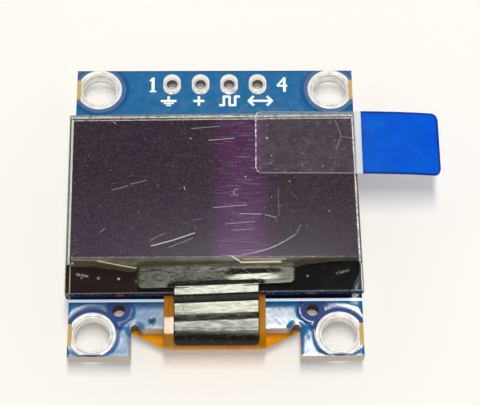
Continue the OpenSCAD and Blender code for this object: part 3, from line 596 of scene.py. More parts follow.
printPiece("dataMark", [((3.0, mid), (5.06, mid), stroke), ((3.0, mid), (3.42, y1), stroke), ((3.0, mid), (3.42, y0), stroke),
                        ((5.06, mid), (4.64, y1), stroke), ((5.06, mid), (4.64, y0), stroke)])
printPiece("outlinePrint", [((-12.2, -8.67), (12.2, -8.63), 0.24)])
print("print made")


# ---- glass panel

glass = {"bevel": 0.05, "clear": (243, 250, 247), "edge": (205, 214, 200), "chip": (235, 238, 228)}
clearGlass, tree, shader = newFinish("clearGlass", tint(*glass["clear"]), 0.02, ior=1.5, transmission=1.0)
place = placeIn(tree)
smear = useGroup(tree, softGrain, {"Place": place, "Scale": 0.25, "Detail": 4.0, "Low": 0.45, "High": 0.75})
feed(tree, ramp(tree, smear, 0.0, 1.0, 0.01, 0.06), shader, "Roughness")
shadowRay = addNode(tree, "ShaderNodeLightPath").outputs["Is Shadow Ray"]  # light passes the glass to what lies behind it
feed(tree, calc(tree, "SUBTRACT", 1.0, calc(tree, "MULTIPLY", shadowRay, 0.92)), shader, "Alpha")
groundGlass, tree, shader = newFinish("groundGlass", tint(*glass["edge"]), 0.35, ior=1.5, transmission=0.75)
place = placeIn(tree)
grit = useGroup(tree, softGrain, {"Place": place, "Scale": 9.0, "Detail": 4.0, "Low": 0.35, "High": 0.65})
feed(tree, mixColour(tree, grit, tint(*glass["edge"]), tint(*glass["chip"])), shader, "Base Color")
feed(tree, ramp(tree, grit, 0.0, 1.0, 0.15, 0.6), shader, "Roughness")
bumpFrom(tree, shader, grit, 0.03)


edgeGlass, tree, shader = newFinish("edgeGlass", tint(176, 190, 196), 0.12, ior=1.5, transmission=0.55)
place = placeIn(tree)
nick = useGroup(tree, softGrain, {"Place": place, "Scale": 5.0, "Detail": 4.0, "Low": 0.55, "High": 0.7})
# the glass's side along the panel's near edge is painted dark navy: painted shade under the panel's overhang
nearEdgeShade = ramp(tree, addNode(tree, "ShaderNodeSeparateXYZ", {0: place}).outputs[1], -8.2, -8.3)
body = mixColour(tree, nearEdgeShade, tint(176, 190, 196), tint(12, 30, 96))
feed(tree, mixColour(tree, nick, body, mixColour(tree, nearEdgeShade, tint(226, 230, 226), tint(70, 96, 150))), shader, "Base Color")
feed(tree, ramp(tree, nick, 0.0, 1.0, 0.06, 0.5), shader, "Roughness")
bumpFrom(tree, shader, nick, 0.02)


def glassPlate(name, node, lift, sink):
    bm = copyNode(node)
    top, bottom = max(v.co.z for v in bm.verts), min(v.co.z for v in bm.verts)
    for v in bm.verts:
        v.co.z += lift if v.co.z > (top + bottom) / 2 else -sink
    bevelSharp(bm, glass["bevel"], segments=1)
    for f in bm.faces:
        f.material_index = 0 if abs(f.normal.z) > 0.9 else 2 if abs(f.normal.z) < 0.2 else 1
    return finishPiece(name, bm, [clearGlass, groundGlass, edgeGlass], [node], sharp=25)


glassPlate("frontPlate", "front_glass", 0.003, 0.004)


def paint(names, finish):
    for name in names:
        nodes[name].data.materials.clear()
        nodes[name].data.materials.append(finish)


paint(["cap_glass"], groundGlass)

glue, tree, shader = newFinish("glueLine", tint(168, 160, 120), 0.4)
place = placeIn(tree, centre=(panel["centre"].x, panel["centre"].y, 0), turn=panel["turn"])
parts = addNode(tree, "ShaderNodeSeparateXYZ", {0: place})
grain = useGroup(tree, softGrain, {"Place": place, "Scale": 3.5, "Detail": 3.0, "Low": 0.4, "High": 0.6})
fromTop = calc(tree, "SUBTRACT", panel["length"] / 2, parts.outputs[1])
fromSide = calc(tree, "SUBTRACT", panel["width"] / 2, calc(tree, "ABSOLUTE", parts.outputs[0]))


def stripes(tree, distance, bands):  # soft stripes by distance: [middle, half width, strength]
    return largest(tree, *[calc(tree, "MULTIPLY", ramp(tree, calc(tree, "ABSOLUTE", calc(tree, "SUBTRACT", distance, middle)), half, half + 0.03, 1.0, 0.0), strength)
                           for middle, half, strength in bands])


dashes = ramp(tree, addNode(tree, "ShaderNodeTexNoise", {"Vector": place, "Scale": 2.6, "Detail": 2.0}).outputs[0], 0.4, 0.52, 0.45, 1.0)
onTopEdge = calc(tree, "MULTIPLY", stripes(tree, fromTop, [(0.05, 0.035, 0.95), (0.42, 0.08, 1.0)]), dashes)
onRight = ramp(tree, parts.outputs[0], -1.0, 1.0)
leftEdge = stripes(tree, fromSide, [(0.25, 0.09, 0.45), (0.54, 0.05, 0.7)])
rightEdge = calc(tree, "MULTIPLY", stripes(tree, fromSide, [(0.17, 0.04, 0.65)]), dashes)
onSideEdge = calc(tree, "ADD", calc(tree, "MULTIPLY", leftEdge, calc(tree, "SUBTRACT", 1.0, onRight)), calc(tree, "MULTIPLY", rightEdge, onRight))
nearTop = ramp(tree, calc(tree, "SUBTRACT", fromTop, fromSide), 0.02, -0.02)
rightward = ramp(tree, parts.outputs[0], -6.0, 2.0)
topGround = mixColour(tree, rightward, mixColour(tree, grain, tint(88, 91, 92), tint(52, 54, 55)), mixColour(tree, grain, tint(138, 144, 146), tint(96, 101, 103)))
sideGround = mixColour(tree, onRight, tint(70, 60, 50), tint(26, 22, 20))
ground = mixColour(tree, nearTop, sideGround, topGround)
paleStripesAndGlow = calc(tree, "ADD", calc(tree, "MULTIPLY", onTopEdge, nearTop), calc(tree, "MULTIPLY", onSideEdge, calc(tree, "SUBTRACT", 1.0, nearTop)), clamp=True)
feed(tree, mixColour(tree, paleStripesAndGlow, ground, tint(255, 246, 228)), shader, "Base Color")
# the pale stripes also glow: painted light, so that they show bright through the glass
feed(tree, mixColour(tree, paleStripesAndGlow, tint(0, 0, 0), tint(250, 250, 246)), shader, "Emission Color")
shader.inputs["Emission Strength"].default_value = 0.5
bumpFrom(tree, shader, grain, 0.004)
paint(["edge_seal"], glue)

coating, tree, shader = newFinish("blackCoating", tint(20, 10, 9), 0.6, specular=0.05)
place = placeIn(tree, turn=panel["turn"])
cloud = useGroup(tree, softGrain, {"Place": place, "Scale": 0.5, "Detail": 4.0, "Low": 0.4, "High": 0.7})
across = addNode(tree, "ShaderNodeSeparateXYZ", {0: place})
warm = calc(tree, "MULTIPLY", ramp(tree, across.outputs[0], -3.0, 8.0, 1.0, 0.0), ramp(tree, cloud, 0.0, 1.0, 0.55, 1.0))
edgeLine = ramp(tree, calc(tree, "ABSOLUTE", calc(tree, "ADD", across.outputs[0], 12.17)), 0.03, 0.07, 1.0, 0.0)
fleck = useGroup(tree, dustSpecks, {"Place": place, "Spacing": 1.3, "Size": 0.12})
dull = mixColour(tree, warm, tint(7, 3, 4), tint(46, 26, 22))
dull = mixColour(tree, calc(tree, "MULTIPLY", edgeLine, 0.8), dull, tint(190, 178, 150))
smears = [calc(tree, "MULTIPLY", useGroup(tree, lineMark, {"Place": place, "From": (*a, 0), "To": (*b, 0), "Width": 0.02, "Soft": soft}), strength)
          for a, b, soft, strength in [((-11.6, -6.75), (-10.75, -6.95), 0.16, 0.5), ((10.0, -6.95), (11.0, -6.7), 0.16, 0.35), ((-6.75, -7.45), (-6.55, -7.5), 0.2, 0.35)]]
smears = calc(tree, "MULTIPLY", largest(tree, *smears), ramp(tree, addNode(tree, "ShaderNodeTexNoise", {"Vector": place, "Scale": 5.0, "Detail": 3.0}).outputs[0], 0.42, 0.58))
dot = ramp(tree, useGroup(tree, discDistance, {"Place": place, "Centre": (-8.12, -7.23, 0), "Radius": 0.07}), 0.0, 0.05, 1.0, 0.0)
flaws = largest(tree, calc(tree, "MULTIPLY", fleck, 0.3), smears, dot)
feed(tree, mixColour(tree, flaws, dull, tint(214, 206, 196)), shader, "Base Color")
bumpFrom(tree, shader, cloud, 0.01)
low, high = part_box("ledge_coating")
ledge = {
    "low": low.z * 1000, "high": high.z * 1000,
    "outline": [(-12.33, -5.62), (-12.33, -8.43), (11.3, -8.43), (11.42, -8.3), (11.5, -7.9), (11.66, -7.5), (11.9, -7.1), (12.06, -6.7), (12.12, -6.2), (12.15, -5.62)],
}
bm = bmesh.new()
face = bm.faces.new([bm.verts.new((x, y, ledge["low"])) for x, y in ledge["outline"]])
grown = bmesh.ops.extrude_face_region(bm, geom=[face])["geom"]
bmesh.ops.translate(bm, verts=[v for v in grown if isinstance(v, bmesh.types.BMVert)], vec=(0, 0, ledge["high"] - ledge["low"]))
onPanel(bm)
finishPiece("ledgeInk", bm, [coating], ["ledge_coating"])

silicon, tree, shader = newFinish("silicon", tint(90, 92, 96), 0.2, metallic=0.7)
place = placeIn(tree, turn=panel["turn"])
lines = calc(tree, "SINE", calc(tree, "MULTIPLY", addNode(tree, "ShaderNodeSeparateXYZ", {0: place}).outputs[0], 60.0))
cell = addNode(tree, "ShaderNodeTexVoronoi", {"Vector": place, "Scale": 3.0}, distance="CHEBYCHEV").outputs["Distance"]
feed(tree, mixColour(tree, ramp(tree, calc(tree, "ADD", calc(tree, "MULTIPLY", lines, 0.2), cell), 0.2, 0.7), tint(96, 98, 104), tint(64, 62, 72)), shader, "Base Color")
paint(["driver_chip"], silicon)

foam, tree, shader = newFinish("foamTape", tint(236, 235, 228), 0.9, subsurface=0.1)
pores = addNode(tree, "ShaderNodeTexVoronoi", {"Vector": placeIn(tree), "Scale": 6.0}).outputs["Distance"]
feed(tree, mixColour(tree, ramp(tree, pores, 0.0, 0.6), tint(205, 203, 194), tint(240, 239, 233)), shader, "Base Color")
bumpFrom(tree, shader, pores, 0.05)
paint(["foam_tape"], foam)

dryer, tree, shader = newFinish("dryingSheet", tint(232, 231, 226), 0.85)
grain = useGroup(tree, softGrain, {"Place": placeIn(tree), "Scale": 4.0, "Detail": 4.0, "Low": 0.3, "High": 0.7})
feed(tree, mixColour(tree, grain, tint(238, 237, 232), tint(214, 212, 206)), shader, "Base Color")
bumpFrom(tree, shader, grain, 0.02)
paint(["desiccant_sheet"], dryer)
print("glass panel made")


# ---- polariser and its protective film

screen = {
    "dark": (44, 26, 46), "warm": (48, 30, 44), "reflectedPurple": (82, 30, 84), "low": (98, 58, 106), "reflectionX": 2.2, "reflectionHalf": 2.3,
    "haze": (200, 196, 204), "flap": (108, 98, 70),
    "highlightStreaks": [((1.33, -5.56), (2.13, -6.1), 0.03, 0.8), ((2.13, -6.1), (5.4, -6.05), 0.06, 0.95), ((2.3, -5.84), (5.8, -5.84), 0.015, 0.5),
                ((-9.8, -5.97), (-8.2, -6.28), 0.02, 0.6), ((-8.2, -6.28), (-6.6, -6.58), 0.02, 0.75), ((-12.0, -5.85), (-9.0, -5.92), 0.03, 0.35)],
    "scratches": [  # from, to, half width, strength
        ((-5.35, -4.6), (-3.6, -4.1), 0.035, 0.95), ((-3.6, -4.1), (-1.75, -3.42), 0.035, 0.9),
        ((0.9, -5.55), (2.2, -5.48), 0.012, 0.4), ((2.2, -5.48), (3.3, -5.24), 0.018, 0.75), ((3.3, -5.24), (4.35, -4.93), 0.025, 0.9),
        ((4.35, -4.93), (5.1, -4.6), 0.025, 0.9), ((5.1, -4.6), (5.72, -4.25), 0.025, 0.85), ((5.72, -4.25), (6.7, -3.6), 0.018, 0.75),
        ((6.7, -3.6), (7.2, -2.7), 0.01, 0.3), ((-2.05, 6.58), (0.42, 6.8), 0.012, 0.5), ((-0.55, 5.42), (1.65, 5.62), 0.018, 0.75),
        ((-0.15, -1.05), (2.65, -0.81), 0.015, 0.65), ((2.05, -1.62), (3.9, -1.69), 0.02, 0.7), ((0.85, -2.6), (3.3, -2.38), 0.01, 0.45),
        ((1.5, -3.18), (3.15, -3.07), 0.01, 0.4), ((-2.66, 0.98), (-2.56, 0.62), 0.02, 0.7), ((-7.2, 1.2), (-5.85, 1.56), 0.012, 0.45),
        ((-8.75, 0.64), (-7.4, 1.06), 0.012, 0.35), ((4.2, -1.75), (5.15, -2.0), 0.018, 0.6), ((-3.9, -4.75), (-1.9, -3.9), 0.01, 0.35),
        ((-9.68, -3.34), (-9.27, -2.96), 0.015, 0.45), ((-5.4, -4.05), (-4.65, -3.62), 0.01, 0.4), ((-4.65, -3.62), (-4.15, -3.43), 0.008, 0.3),
        ((-9.05, 7.6), (-8.58, 7.05), 0.018, 0.75), ((5.34, 0.8), (5.36, -1.9), 0.02, 0.14), ((1.3, 0.1), (1.62, 0.12), 0.012, 0.25),
    ],
}
film = {"low": panel["filmLow"], "high": panel["filmHigh"], "half": 12.1, "thickness": 0.05,
        "edge": [(-12.2, -6.05), (-10.2, -6.08), (-8.5, -6.33), (-6.62, -6.62), (-6.4, -6.2), (6.3, -6.2), (6.6, -6.36), (7.8, -6.02), (11.4, -5.76), (12.2, -5.72)],
        "bottom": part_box("protective_film")[0].z * 1000}



def reflectionBandMask(tree, place):
    parts = addNode(tree, "ShaderNodeSeparateXYZ", {0: place})
    middle = calc(tree, "ABSOLUTE", calc(tree, "SUBTRACT", parts.outputs[0], screen["reflectionX"]))
    spread = ramp(tree, parts.outputs[1], -6.0, 7.0, 3.5, 3.3)
    return ramp(tree, calc(tree, "DIVIDE", middle, spread), 0.1, 1.0, 1.0, 0.0), parts


# the purple band down the screen, lighter towards its lower end, is a painted reflection of the lamp in the polariser
polariser, tree, shader = newFinish("polariser", tint(*screen["dark"]), 0.11, specular=0.4, coat=0.2, coatRoughness=0.04)
place = placeIn(tree)
band, parts = reflectionBandMask(tree, place)
lowerReflection = ramp(tree, parts.outputs[1], -5.6, 3.0, 1.0, 0.0)
cloud = useGroup(tree, softGrain, {"Place": place, "Scale": 0.3, "Detail": 3.0, "Low": 0.35, "High": 0.65})
ground = mixColour(tree, cloud, tint(*screen["dark"]), tint(*screen["warm"]))
ground = mixColour(tree, calc(tree, "MULTIPLY", lowerReflection, 0.35), ground, tint(78, 68, 88))
stripe = mixColour(tree, lowerReflection, tint(*screen["reflectedPurple"]), tint(*screen["low"]))
feed(tree, mixColour(tree, calc(tree, "MULTIPLY", band, 0.85), ground, stripe), shader, "Base Color")
paint(["polariser"], polariser)

filmFinish, tree, shader = newFinish("protectiveFilm", tint(*screen["haze"]), 0.35)
place = placeIn(tree)
band, parts = reflectionBandMask(tree, place)
marks = [calc(tree, "MULTIPLY", useGroup(tree, lineMark, {"Place": place, "From": (*start, 0), "To": (*end, 0), "Width": max(width - 0.008, 0.006), "Soft": 0.024}), strength)
         for start, end, width, strength in screen["scratches"]]
hook = useGroup(tree, discDistance, {"Place": place, "Centre": (1.85, 0.42, 0), "Radius": 0.3})
hook = calc(tree, "MULTIPLY", ramp(tree, calc(tree, "ABSOLUTE", hook), 0.0, 0.05, 0.5, 0.0), ramp(tree, parts.outputs[0], 1.85, 2.0, 1.0, 0.0))
drawn = addNode(tree, "ShaderNodeMapping", {"Vector": place, "Rotation": (0, 0, -0.06), "Scale": (0.4, 15.0, 1.0)}).outputs[0]
drawn = addNode(tree, "ShaderNodeTexNoise", {"Vector": drawn, "Scale": 1.0, "Detail": 3.0, "Roughness": 0.6}).outputs[0]
# the fine drawn lines are strongest inside the painted reflection band
fine = calc(tree, "MULTIPLY", ramp(tree, drawn, 0.54, 0.76), ramp(tree, band, 0.15, 0.8, 0.03, 0.24))
loose = calc(tree, "MULTIPLY", useGroup(tree, hairScratches, {"Place": place, "Turn": -0.3, "Spacing": 0.9, "Stretch": 6.0, "Size": 0.035}), 0.14)
cross = calc(tree, "MULTIPLY", useGroup(tree, hairScratches, {"Place": place, "Turn": 0.9, "Spacing": 1.2, "Stretch": 4.0, "Size": 0.03}), 0.12)
dust = calc(tree, "MULTIPLY", useGroup(tree, dustSpecks, {"Place": place, "Spacing": 0.45, "Size": 0.06}), 0.16)
bigDust = calc(tree, "MULTIPLY", useGroup(tree, dustSpecks, {"Place": place, "Spacing": 3.0, "Size": 0.028}), 0.45)
veil = ramp(tree, addNode(tree, "ShaderNodeTexNoise", {"Vector": place, "Scale": 6.0, "Detail": 4.0, "Roughness": 0.85}).outputs[0], 0.42, 0.7, 0.0, 0.045)
onScreen = ramp(tree, parts.outputs[1], panel["ledge"] - 0.1, panel["ledge"])
flap = ramp(tree, parts.outputs[1], panel["ledge"] - 0.1, panel["ledge"], 1.0, 0.0)
beads = ramp(tree, addNode(tree, "ShaderNodeTexNoise", {"Vector": place, "Scale": 2.2, "Detail": 3.0}).outputs[0], 0.38, 0.62, 0.3, 1.0)
# cream lines along the film's lower edges, and the streaks on its loose flap, are painted highlights of the lamp on
# those edges
edgeHighlights = calc(tree, "MULTIPLY", stripes(tree, parts.outputs[1], [(panel["ledge"] - 0.05, 0.02, 0.4), (panel["ledge"] - 0.3, 0.02, 0.2)]), beads)
highlightStreaks = [calc(tree, "MULTIPLY", useGroup(tree, lineMark, {"Place": place, "From": (*start, 0), "To": (*end, 0), "Width": width, "Soft": 0.05}), strength)
           for start, end, width, strength in screen["highlightStreaks"]]
edgeHighlights = largest(tree, edgeHighlights, *highlightStreaks)
olive = calc(tree, "MULTIPLY", flap, ramp(tree, addNode(tree, "ShaderNodeTexNoise", {"Vector": place, "Scale": 0.45, "Detail": 2.0}).outputs[0], 0.35, 0.65, 0.12, 0.32))
marked = largest(tree, *marks, hook, fine, loose, cross, dust, bigDust)
alpha = calc(tree, "ADD", largest(tree, calc(tree, "MULTIPLY", marked, onScreen), olive, edgeHighlights), veil, clamp=True)
feed(tree, alpha, shader, "Alpha")
flapColour = mixColour(tree, ramp(tree, edgeHighlights, 0.2, 0.6), tint(*screen["flap"]), tint(226, 216, 180))
feed(tree, mixColour(tree, calc(tree, "MULTIPLY", flap, ramp(tree, marked, 0.3, 0.8, 1.0, 0.0)), tint(*screen["haze"]), flapColour), shader, "Base Color")



def edgeAt(points, x):  # a smooth edge through [x, y] points
    for (x0, y0), (x1, y1) in zip(points, points[1:]):
        if x <= x1:
            return y0 + (y1 - y0) * smoothStep(x, x0, x1)
    return points[-1][1]


bm = bmesh.new()
bmesh.ops.create_grid(bm, x_segments=96, y_segments=48, size=1.0)
for v in bm.verts:
    u, w = v.co.x, v.co.y
    x = u * film["half"]
    low = edgeAt(film["edge"], x)
    share = (w + 1) / 2
    y = low + (film["high"] - low) * share ** 0.8
    past = max(panel["ledge"] - y, 0.0)
    ripple = 0.012 * math.sin(x * 1.9 + 0.7) * min(past / 0.4, 1.0)
    v.co = Vector((x, y, film["bottom"] + 0.008 - 0.16 * smoothStep(past, 0.0, 0.65) + ripple))
onPanel(bm)
filmPiece = finishPiece("protectiveFilm", bm, [filmFinish], ["protective_film"], recalc=False)
thick = filmPiece.modifiers.new("thickness", "SOLIDIFY")
thick.thickness, thick.offset = film["thickness"] / 1000, 1.0
print("screen and film made")


# ---- pull tab: a clear tape with a blue grip at its free end

tab = {
    "length": 15.95, "width": 6.1, "grip": 6.75, "clear": 0.05, "layer": 0.05, "corner": 0.6, "start": 3.65, "middle": 5.45,
    "turn": math.radians(-0.9), "flat": 8.45, "sag": 75.0, "colour": (0, 104, 234), "deep": (0, 96, 222), "rim": (0, 22, 96), "haze": (206, 194, 206), "freeHaze": (236, 240, 246),
    "bottom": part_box("pull_tab")[1].z * 1000 - 0.05,
}


def tabSheet(bm, start, lift, columns, rows):
    bmesh.ops.create_grid(bm, x_segments=columns, y_segments=rows, size=1.0)
    half = tab["width"] / 2
    for v in bm.verts:
        s = start + (tab["length"] - start) * (v.co.x + 1) / 2
        inset = 0.0
        for toEnd in ([s] if start == 0 else []) + [tab["length"] - s]:
            if toEnd < tab["corner"]:
                inset = tab["corner"] - math.sqrt(max(tab["corner"] ** 2 - (tab["corner"] - toEnd) ** 2, 0.0))
        y = v.co.y * (half - inset)
        past = max(s - tab["flat"], 0.0) / tab["sag"]
        curl = 0.05 * smoothStep(s, tab["length"] - 2.5, tab["length"]) * (v.co.y ** 2)
        x = min(s, tab["flat"]) + (tab["sag"] + lift) * math.sin(past) - 0.012 * smoothStep(s, tab["flat"], tab["length"])
        z = (tab["sag"] + lift) * math.cos(past) - tab["sag"] - curl
        v.co = Vector((x, y, z))
    bmesh.ops.rotate(bm, verts=bm.verts, cent=(0, 0, 0), matrix=Matrix.Rotation(tab["turn"], 3, "Z"))
    bmesh.ops.translate(bm, verts=bm.verts, vec=(tab["start"], tab["middle"], tab["bottom"]))
    onPanel(bm)


clearTape, tree, shader = newFinish("clearTape", tint(*tab["haze"]), 0.3)
place = placeIn(tree, centre=(panel["centre"].x, panel["centre"].y, 0), turn=panel["turn"] + tab["turn"])
parts = addNode(tree, "ShaderNodeSeparateXYZ", {0: place})
outline = useGroup(tree, plateDistance, {"Place": place, "Centre": (tab["start"] + tab["length"] / 2 - 0.08, tab["middle"] + 0.06, 0),
                                         "Half": (tab["length"] / 2 - 0.5, tab["width"] / 2 - 0.5, 0)})
rim = ramp(tree, calc(tree, "ABSOLUTE", calc(tree, "SUBTRACT", outline, 0.44)), 0.03, 0.07, 1.0, 0.0)
broken = ramp(tree, addNode(tree, "ShaderNodeTexNoise", {"Vector": place, "Scale": 2.4, "Detail": 2.0}).outputs[0], 0.44, 0.54)
nearStart = ramp(tree, parts.outputs[0], tab["start"] + 0.3, tab["start"] + 0.6, 1.0, 0.0)
rim = calc(tree, "MULTIPLY", rim, largest(tree, calc(tree, "MULTIPLY", nearStart, broken), 0.22))
crease = largest(tree, *[useGroup(tree, lineMark, {"Place": placeIn(tree), "From": (*a, 0), "To": (*b, 0), "Width": 0.006, "Soft": 0.035})
                         for a, b in [((10.42, 7.37), (10.89, 5.78)), ((10.89, 5.78), (12.08, 5.48)), ((10.89, 5.78), (10.4, 4.41))]])
bubbles = useGroup(tree, dustSpecks, {"Place": place, "Spacing": 0.7, "Size": 0.14})
bigBubbles = useGroup(tree, dustSpecks, {"Place": vectorCalc(tree, "ADD", place, (0.7, 0.3, 0)).outputs[0], "Spacing": 1.9, "Size": 0.06})
fine = useGroup(tree, hairScratches, {"Place": place, "Turn": -0.4, "Spacing": 0.7, "Stretch": 6.0, "Size": 0.06})
veil = ramp(tree, addNode(tree, "ShaderNodeTexNoise", {"Vector": place, "Scale": 1.6, "Detail": 5.0}).outputs[0], 0.3, 0.7, 0.02, 0.045)
gripStart = tab["start"] + tab["length"] - tab["grip"]
free = calc(tree, "MULTIPLY", ramp(tree, parts.outputs[0], 12.08, 12.32, 0.0, 0.6), ramp(tree, parts.outputs[0], gripStart + 0.05, gripStart + 0.2, 1.0, 0.08))
alpha = largest(tree, rim, calc(tree, "MULTIPLY", crease, 0.3), calc(tree, "MULTIPLY", bubbles, 0.2), calc(tree, "MULTIPLY", bigBubbles, 0.6),
                calc(tree, "MULTIPLY", fine, 0.14), calc(tree, "ADD", veil, free))
feed(tree, alpha, shader, "Alpha")
haze = mixColour(tree, ramp(tree, parts.outputs[0], 12.0, 12.3), tint(*tab["haze"]), tint(*tab["freeHaze"]))
feed(tree, mixColour(tree, rim, haze, tint(250, 250, 252)), shader, "Base Color")
bm = bmesh.new()
tabSheet(bm, 0.0, 0.0, 96, 40)
tapePiece = finishPiece("pullTabTape", bm, [clearTape], ["pull_tab"], recalc=False)
thick = tapePiece.modifiers.new("thickness", "SOLIDIFY")
thick.thickness, thick.offset = 0.045 / 1000, 1.0

blueTape, tree, shader = newFinish("blueTape", tint(*tab["colour"]), 0.3, specular=0.2, subsurface=1.0)
shader.inputs["Subsurface Radius"].default_value = (0.02, 0.1, 0.8)
shader.inputs["Specular Tint"].default_value = (0.35, 0.6, 1.0, 1)
shader.inputs["Subsurface Scale"].default_value = 0.0004
place = placeIn(tree, centre=(panel["centre"].x, panel["centre"].y, 0), turn=panel["turn"] + tab["turn"])
cloud = useGroup(tree, softGrain, {"Place": place, "Scale": 0.45, "Detail": 5.0, "Low": 0.35, "High": 0.7})
scratch = largest(tree, useGroup(tree, lineMark, {"Place": placeIn(tree), "From": (16.0, 5.4, 0), "To": (17.7, 4.2, 0), "Width": 0.01, "Soft": 0.07}),
                  calc(tree, "MULTIPLY", useGroup(tree, hairScratches, {"Place": place, "Turn": 0.7, "Spacing": 0.9, "Stretch": 6.0, "Size": 0.06}), 0.7))
ground = mixColour(tree, cloud, tint(*tab["deep"]), tint(*tab["colour"]))
outline = useGroup(tree, plateDistance, {"Place": place, "Centre": (tab["start"] + tab["length"] / 2 - 0.08, tab["middle"] + 0.06, 0),
                                         "Half": (tab["length"] / 2 - 0.5, tab["width"] / 2 - 0.5, 0)})
ground = mixColour(tree, ramp(tree, outline, 0.22, 0.44, 0.0, 0.95), ground, tint(*tab["rim"]))
feed(tree, mixColour(tree, calc(tree, "MULTIPLY", scratch, 0.35), ground, tint(70, 150, 235)), shader, "Base Color")
bumpFrom(tree, shader, cloud, 0.01)
bm = bmesh.new()
tabSheet(bm, tab["length"] - tab["grip"], 0.052, 48, 40)
gripPiece = finishPiece("pullTabGrip", bm, [blueTape], ["pull_tab_grip"], recalc=False)
thick = gripPiece.modifiers.new("thickness", "SOLIDIFY")
thick.thickness, thick.offset = 0.045 / 1000, 1.0
print("pull tab made")


# ---- flex cable: an amber film with fine copper lines, folded round to the back

flex = {
    "middle": -0.08, "half": 4.2, "tailHalf": 10.5, "thickness": 0.1, "top": 1.12, "leadRadius": 4.56, "leadAngle": 18.0, "foldY": -11.75,
    "tailZ": -1.3, "bond": -7.42, "tailEnd": -6.9, "wingY": -12.5, "wingSlope": 0.52, "hole": 0.56,
    "amber": (255, 172, 0), "copper": (240, 146, 0), "dark": (124, 72, 4),
}


def flexPath(step):  # [y, z] of the film's middle, from under the glass to the end of the tail, with the length walked
    lead, angle = flex["leadRadius"], math.radians(flex["leadAngle"])
    fold = (flex["top"] - flex["tailZ"] - lead * (1 - math.cos(angle))) / (1 + math.cos(angle))
    foldZ = flex["tailZ"] + fold
    leadY = flex["foldY"] + (lead - fold) * math.sin(angle)
    points = [(flex["bond"], flex["top"])]
    points += [(leadY - lead * math.sin(a), flex["top"] - lead + lead * math.cos(a)) for a in (angle * i / 10 for i in range(11))]
    points += [(flex["foldY"] - fold * math.sin(a), foldZ + fold * math.cos(a)) for a in (angle + (math.pi - angle) * i / 60 for i in range(1, 61))]
    points += [(flex["tailEnd"], flex["tailZ"])]
    walk = [Vector(points[0])]
    for a, b in zip(points, points[1:]):
        a, b = Vector(a), Vector(b)
        count = max(1, round((b - a).length / step))
        walk += [a + (b - a) * (i + 1) / count for i in range(count)]
    return walk


walk = flexPath(0.2)
lowestRow = min(i for i, p in enumerate(walk) if p.x <= flex["wingY"] and p.y < -0.3)
wingRow = next(i for i, p in enumerate(walk) if p.y < -0.3 and p.x >= flex["wingY"])
bm = bmesh.new()
columns = 28
bmesh.ops.create_grid(bm, x_segments=columns, y_segments=len(walk) - 1, size=1.0)
bm.verts.ensure_lookup_table()
for v in bm.verts:
    row = round((v.co.y + 1) / 2 * (len(walk) - 1))
    y, z = walk[row]
    across = v.co.x
    if 1 - 3 / columns < abs(across) < 0.999:
        across = math.copysign(0.992, across)
    v.co = Vector((flex["middle"] + across * flex["half"], y, z))
for side in (-1, 1):
    rows = len(walk) - 1 - wingRow
    before = set(bm.verts)
    bmesh.ops.create_grid(bm, x_segments=24, y_segments=rows, size=1.0)
    for v in [v for v in bm.verts if v not in before]:
        reach = (flex["tailHalf"] - flex["half"]) * (v.co.x + 1) / 2
        low = walk[wingRow].x + reach * flex["wingSlope"]
        share = (v.co.y + 1) / 2 * rows
        whole = min(int(share + 0.01), rows)
        own = walk[wingRow + whole].x
        top = walk[-1].x
        y = low + (own - walk[wingRow].x) * (top - low) / (top - walk[wingRow].x)
        near = min(walk[wingRow:], key=lambda p: abs(p.x - y))
        v.co = Vector((flex["middle"] + side * (flex["half"] + reach), y, near.y))
bmesh.ops.remove_doubles(bm, verts=bm.verts, dist=0.02)
for side in (-1, 1):
    hole = Vector((side * align[0], align[1], 0))
    gone = [f for f in bm.faces if (f.calc_center_median().xy - hole.xy).length < flex["hole"] and f.calc_center_median().z < -1]
    bmesh.ops.delete(bm, geom=gone, context="FACES")
    for v in bm.verts:
        away = v.co.xy - hole.xy
        if v.co.z < -1 and v.is_boundary and away.length < flex["hole"] + 0.45:
            v.co.xy = hole.xy + away.normalized() * flex["hole"]
polyimide, tree, shader = newFinish("polyimide", tint(*flex["amber"]), 0.3, specular=0.15, coatRoughness=0.08)
shader.inputs["Specular Tint"].default_value = (1.0, 0.75, 0.3, 1)
place = placeIn(tree)
parts = addNode(tree, "ShaderNodeSeparateXYZ", {0: place})
lines = calc(tree, "SINE", calc(tree, "MULTIPLY", parts.outputs[0], 2 * math.pi / 0.22))
uneven = addNode(tree, "ShaderNodeTexNoise", {"Vector": vectorCalc(tree, "MULTIPLY", place, (3.3, 0.05, 0.05)).outputs[0], "Scale": 1.0, "Detail": 1.0}).outputs[0]
trace = ramp(tree, calc(tree, "ADD", lines, calc(tree, "MULTIPLY", calc(tree, "SUBTRACT", uneven, 0.5), 2.5)), -0.2, 0.5)
inNeck = ramp(tree, calc(tree, "ABSOLUTE", calc(tree, "SUBTRACT", parts.outputs[0], flex["middle"])), 3.75, 3.9, 1.0, 0.0)
trace = calc(tree, "MULTIPLY", trace, inNeck)
stain = useGroup(tree, softGrain, {"Place": place, "Scale": 0.6, "Detail": 4.0, "Low": 0.35, "High": 0.7})
ground = mixColour(tree, stain, tint(*flex["amber"]), tint(*flex["copper"]))
onTop = ramp(tree, parts.outputs[2], -0.5, 0.5)
shiny = calc(tree, "MULTIPLY", ramp(tree, parts.outputs[0], -3.5, -3.4, 1.0, 0.0), ramp(tree, parts.outputs[1], -10.7, -10.6, 1.0, 0.0))
feed(tree, calc(tree, "MULTIPLY", shiny, onTop), shader, "Coat Weight")
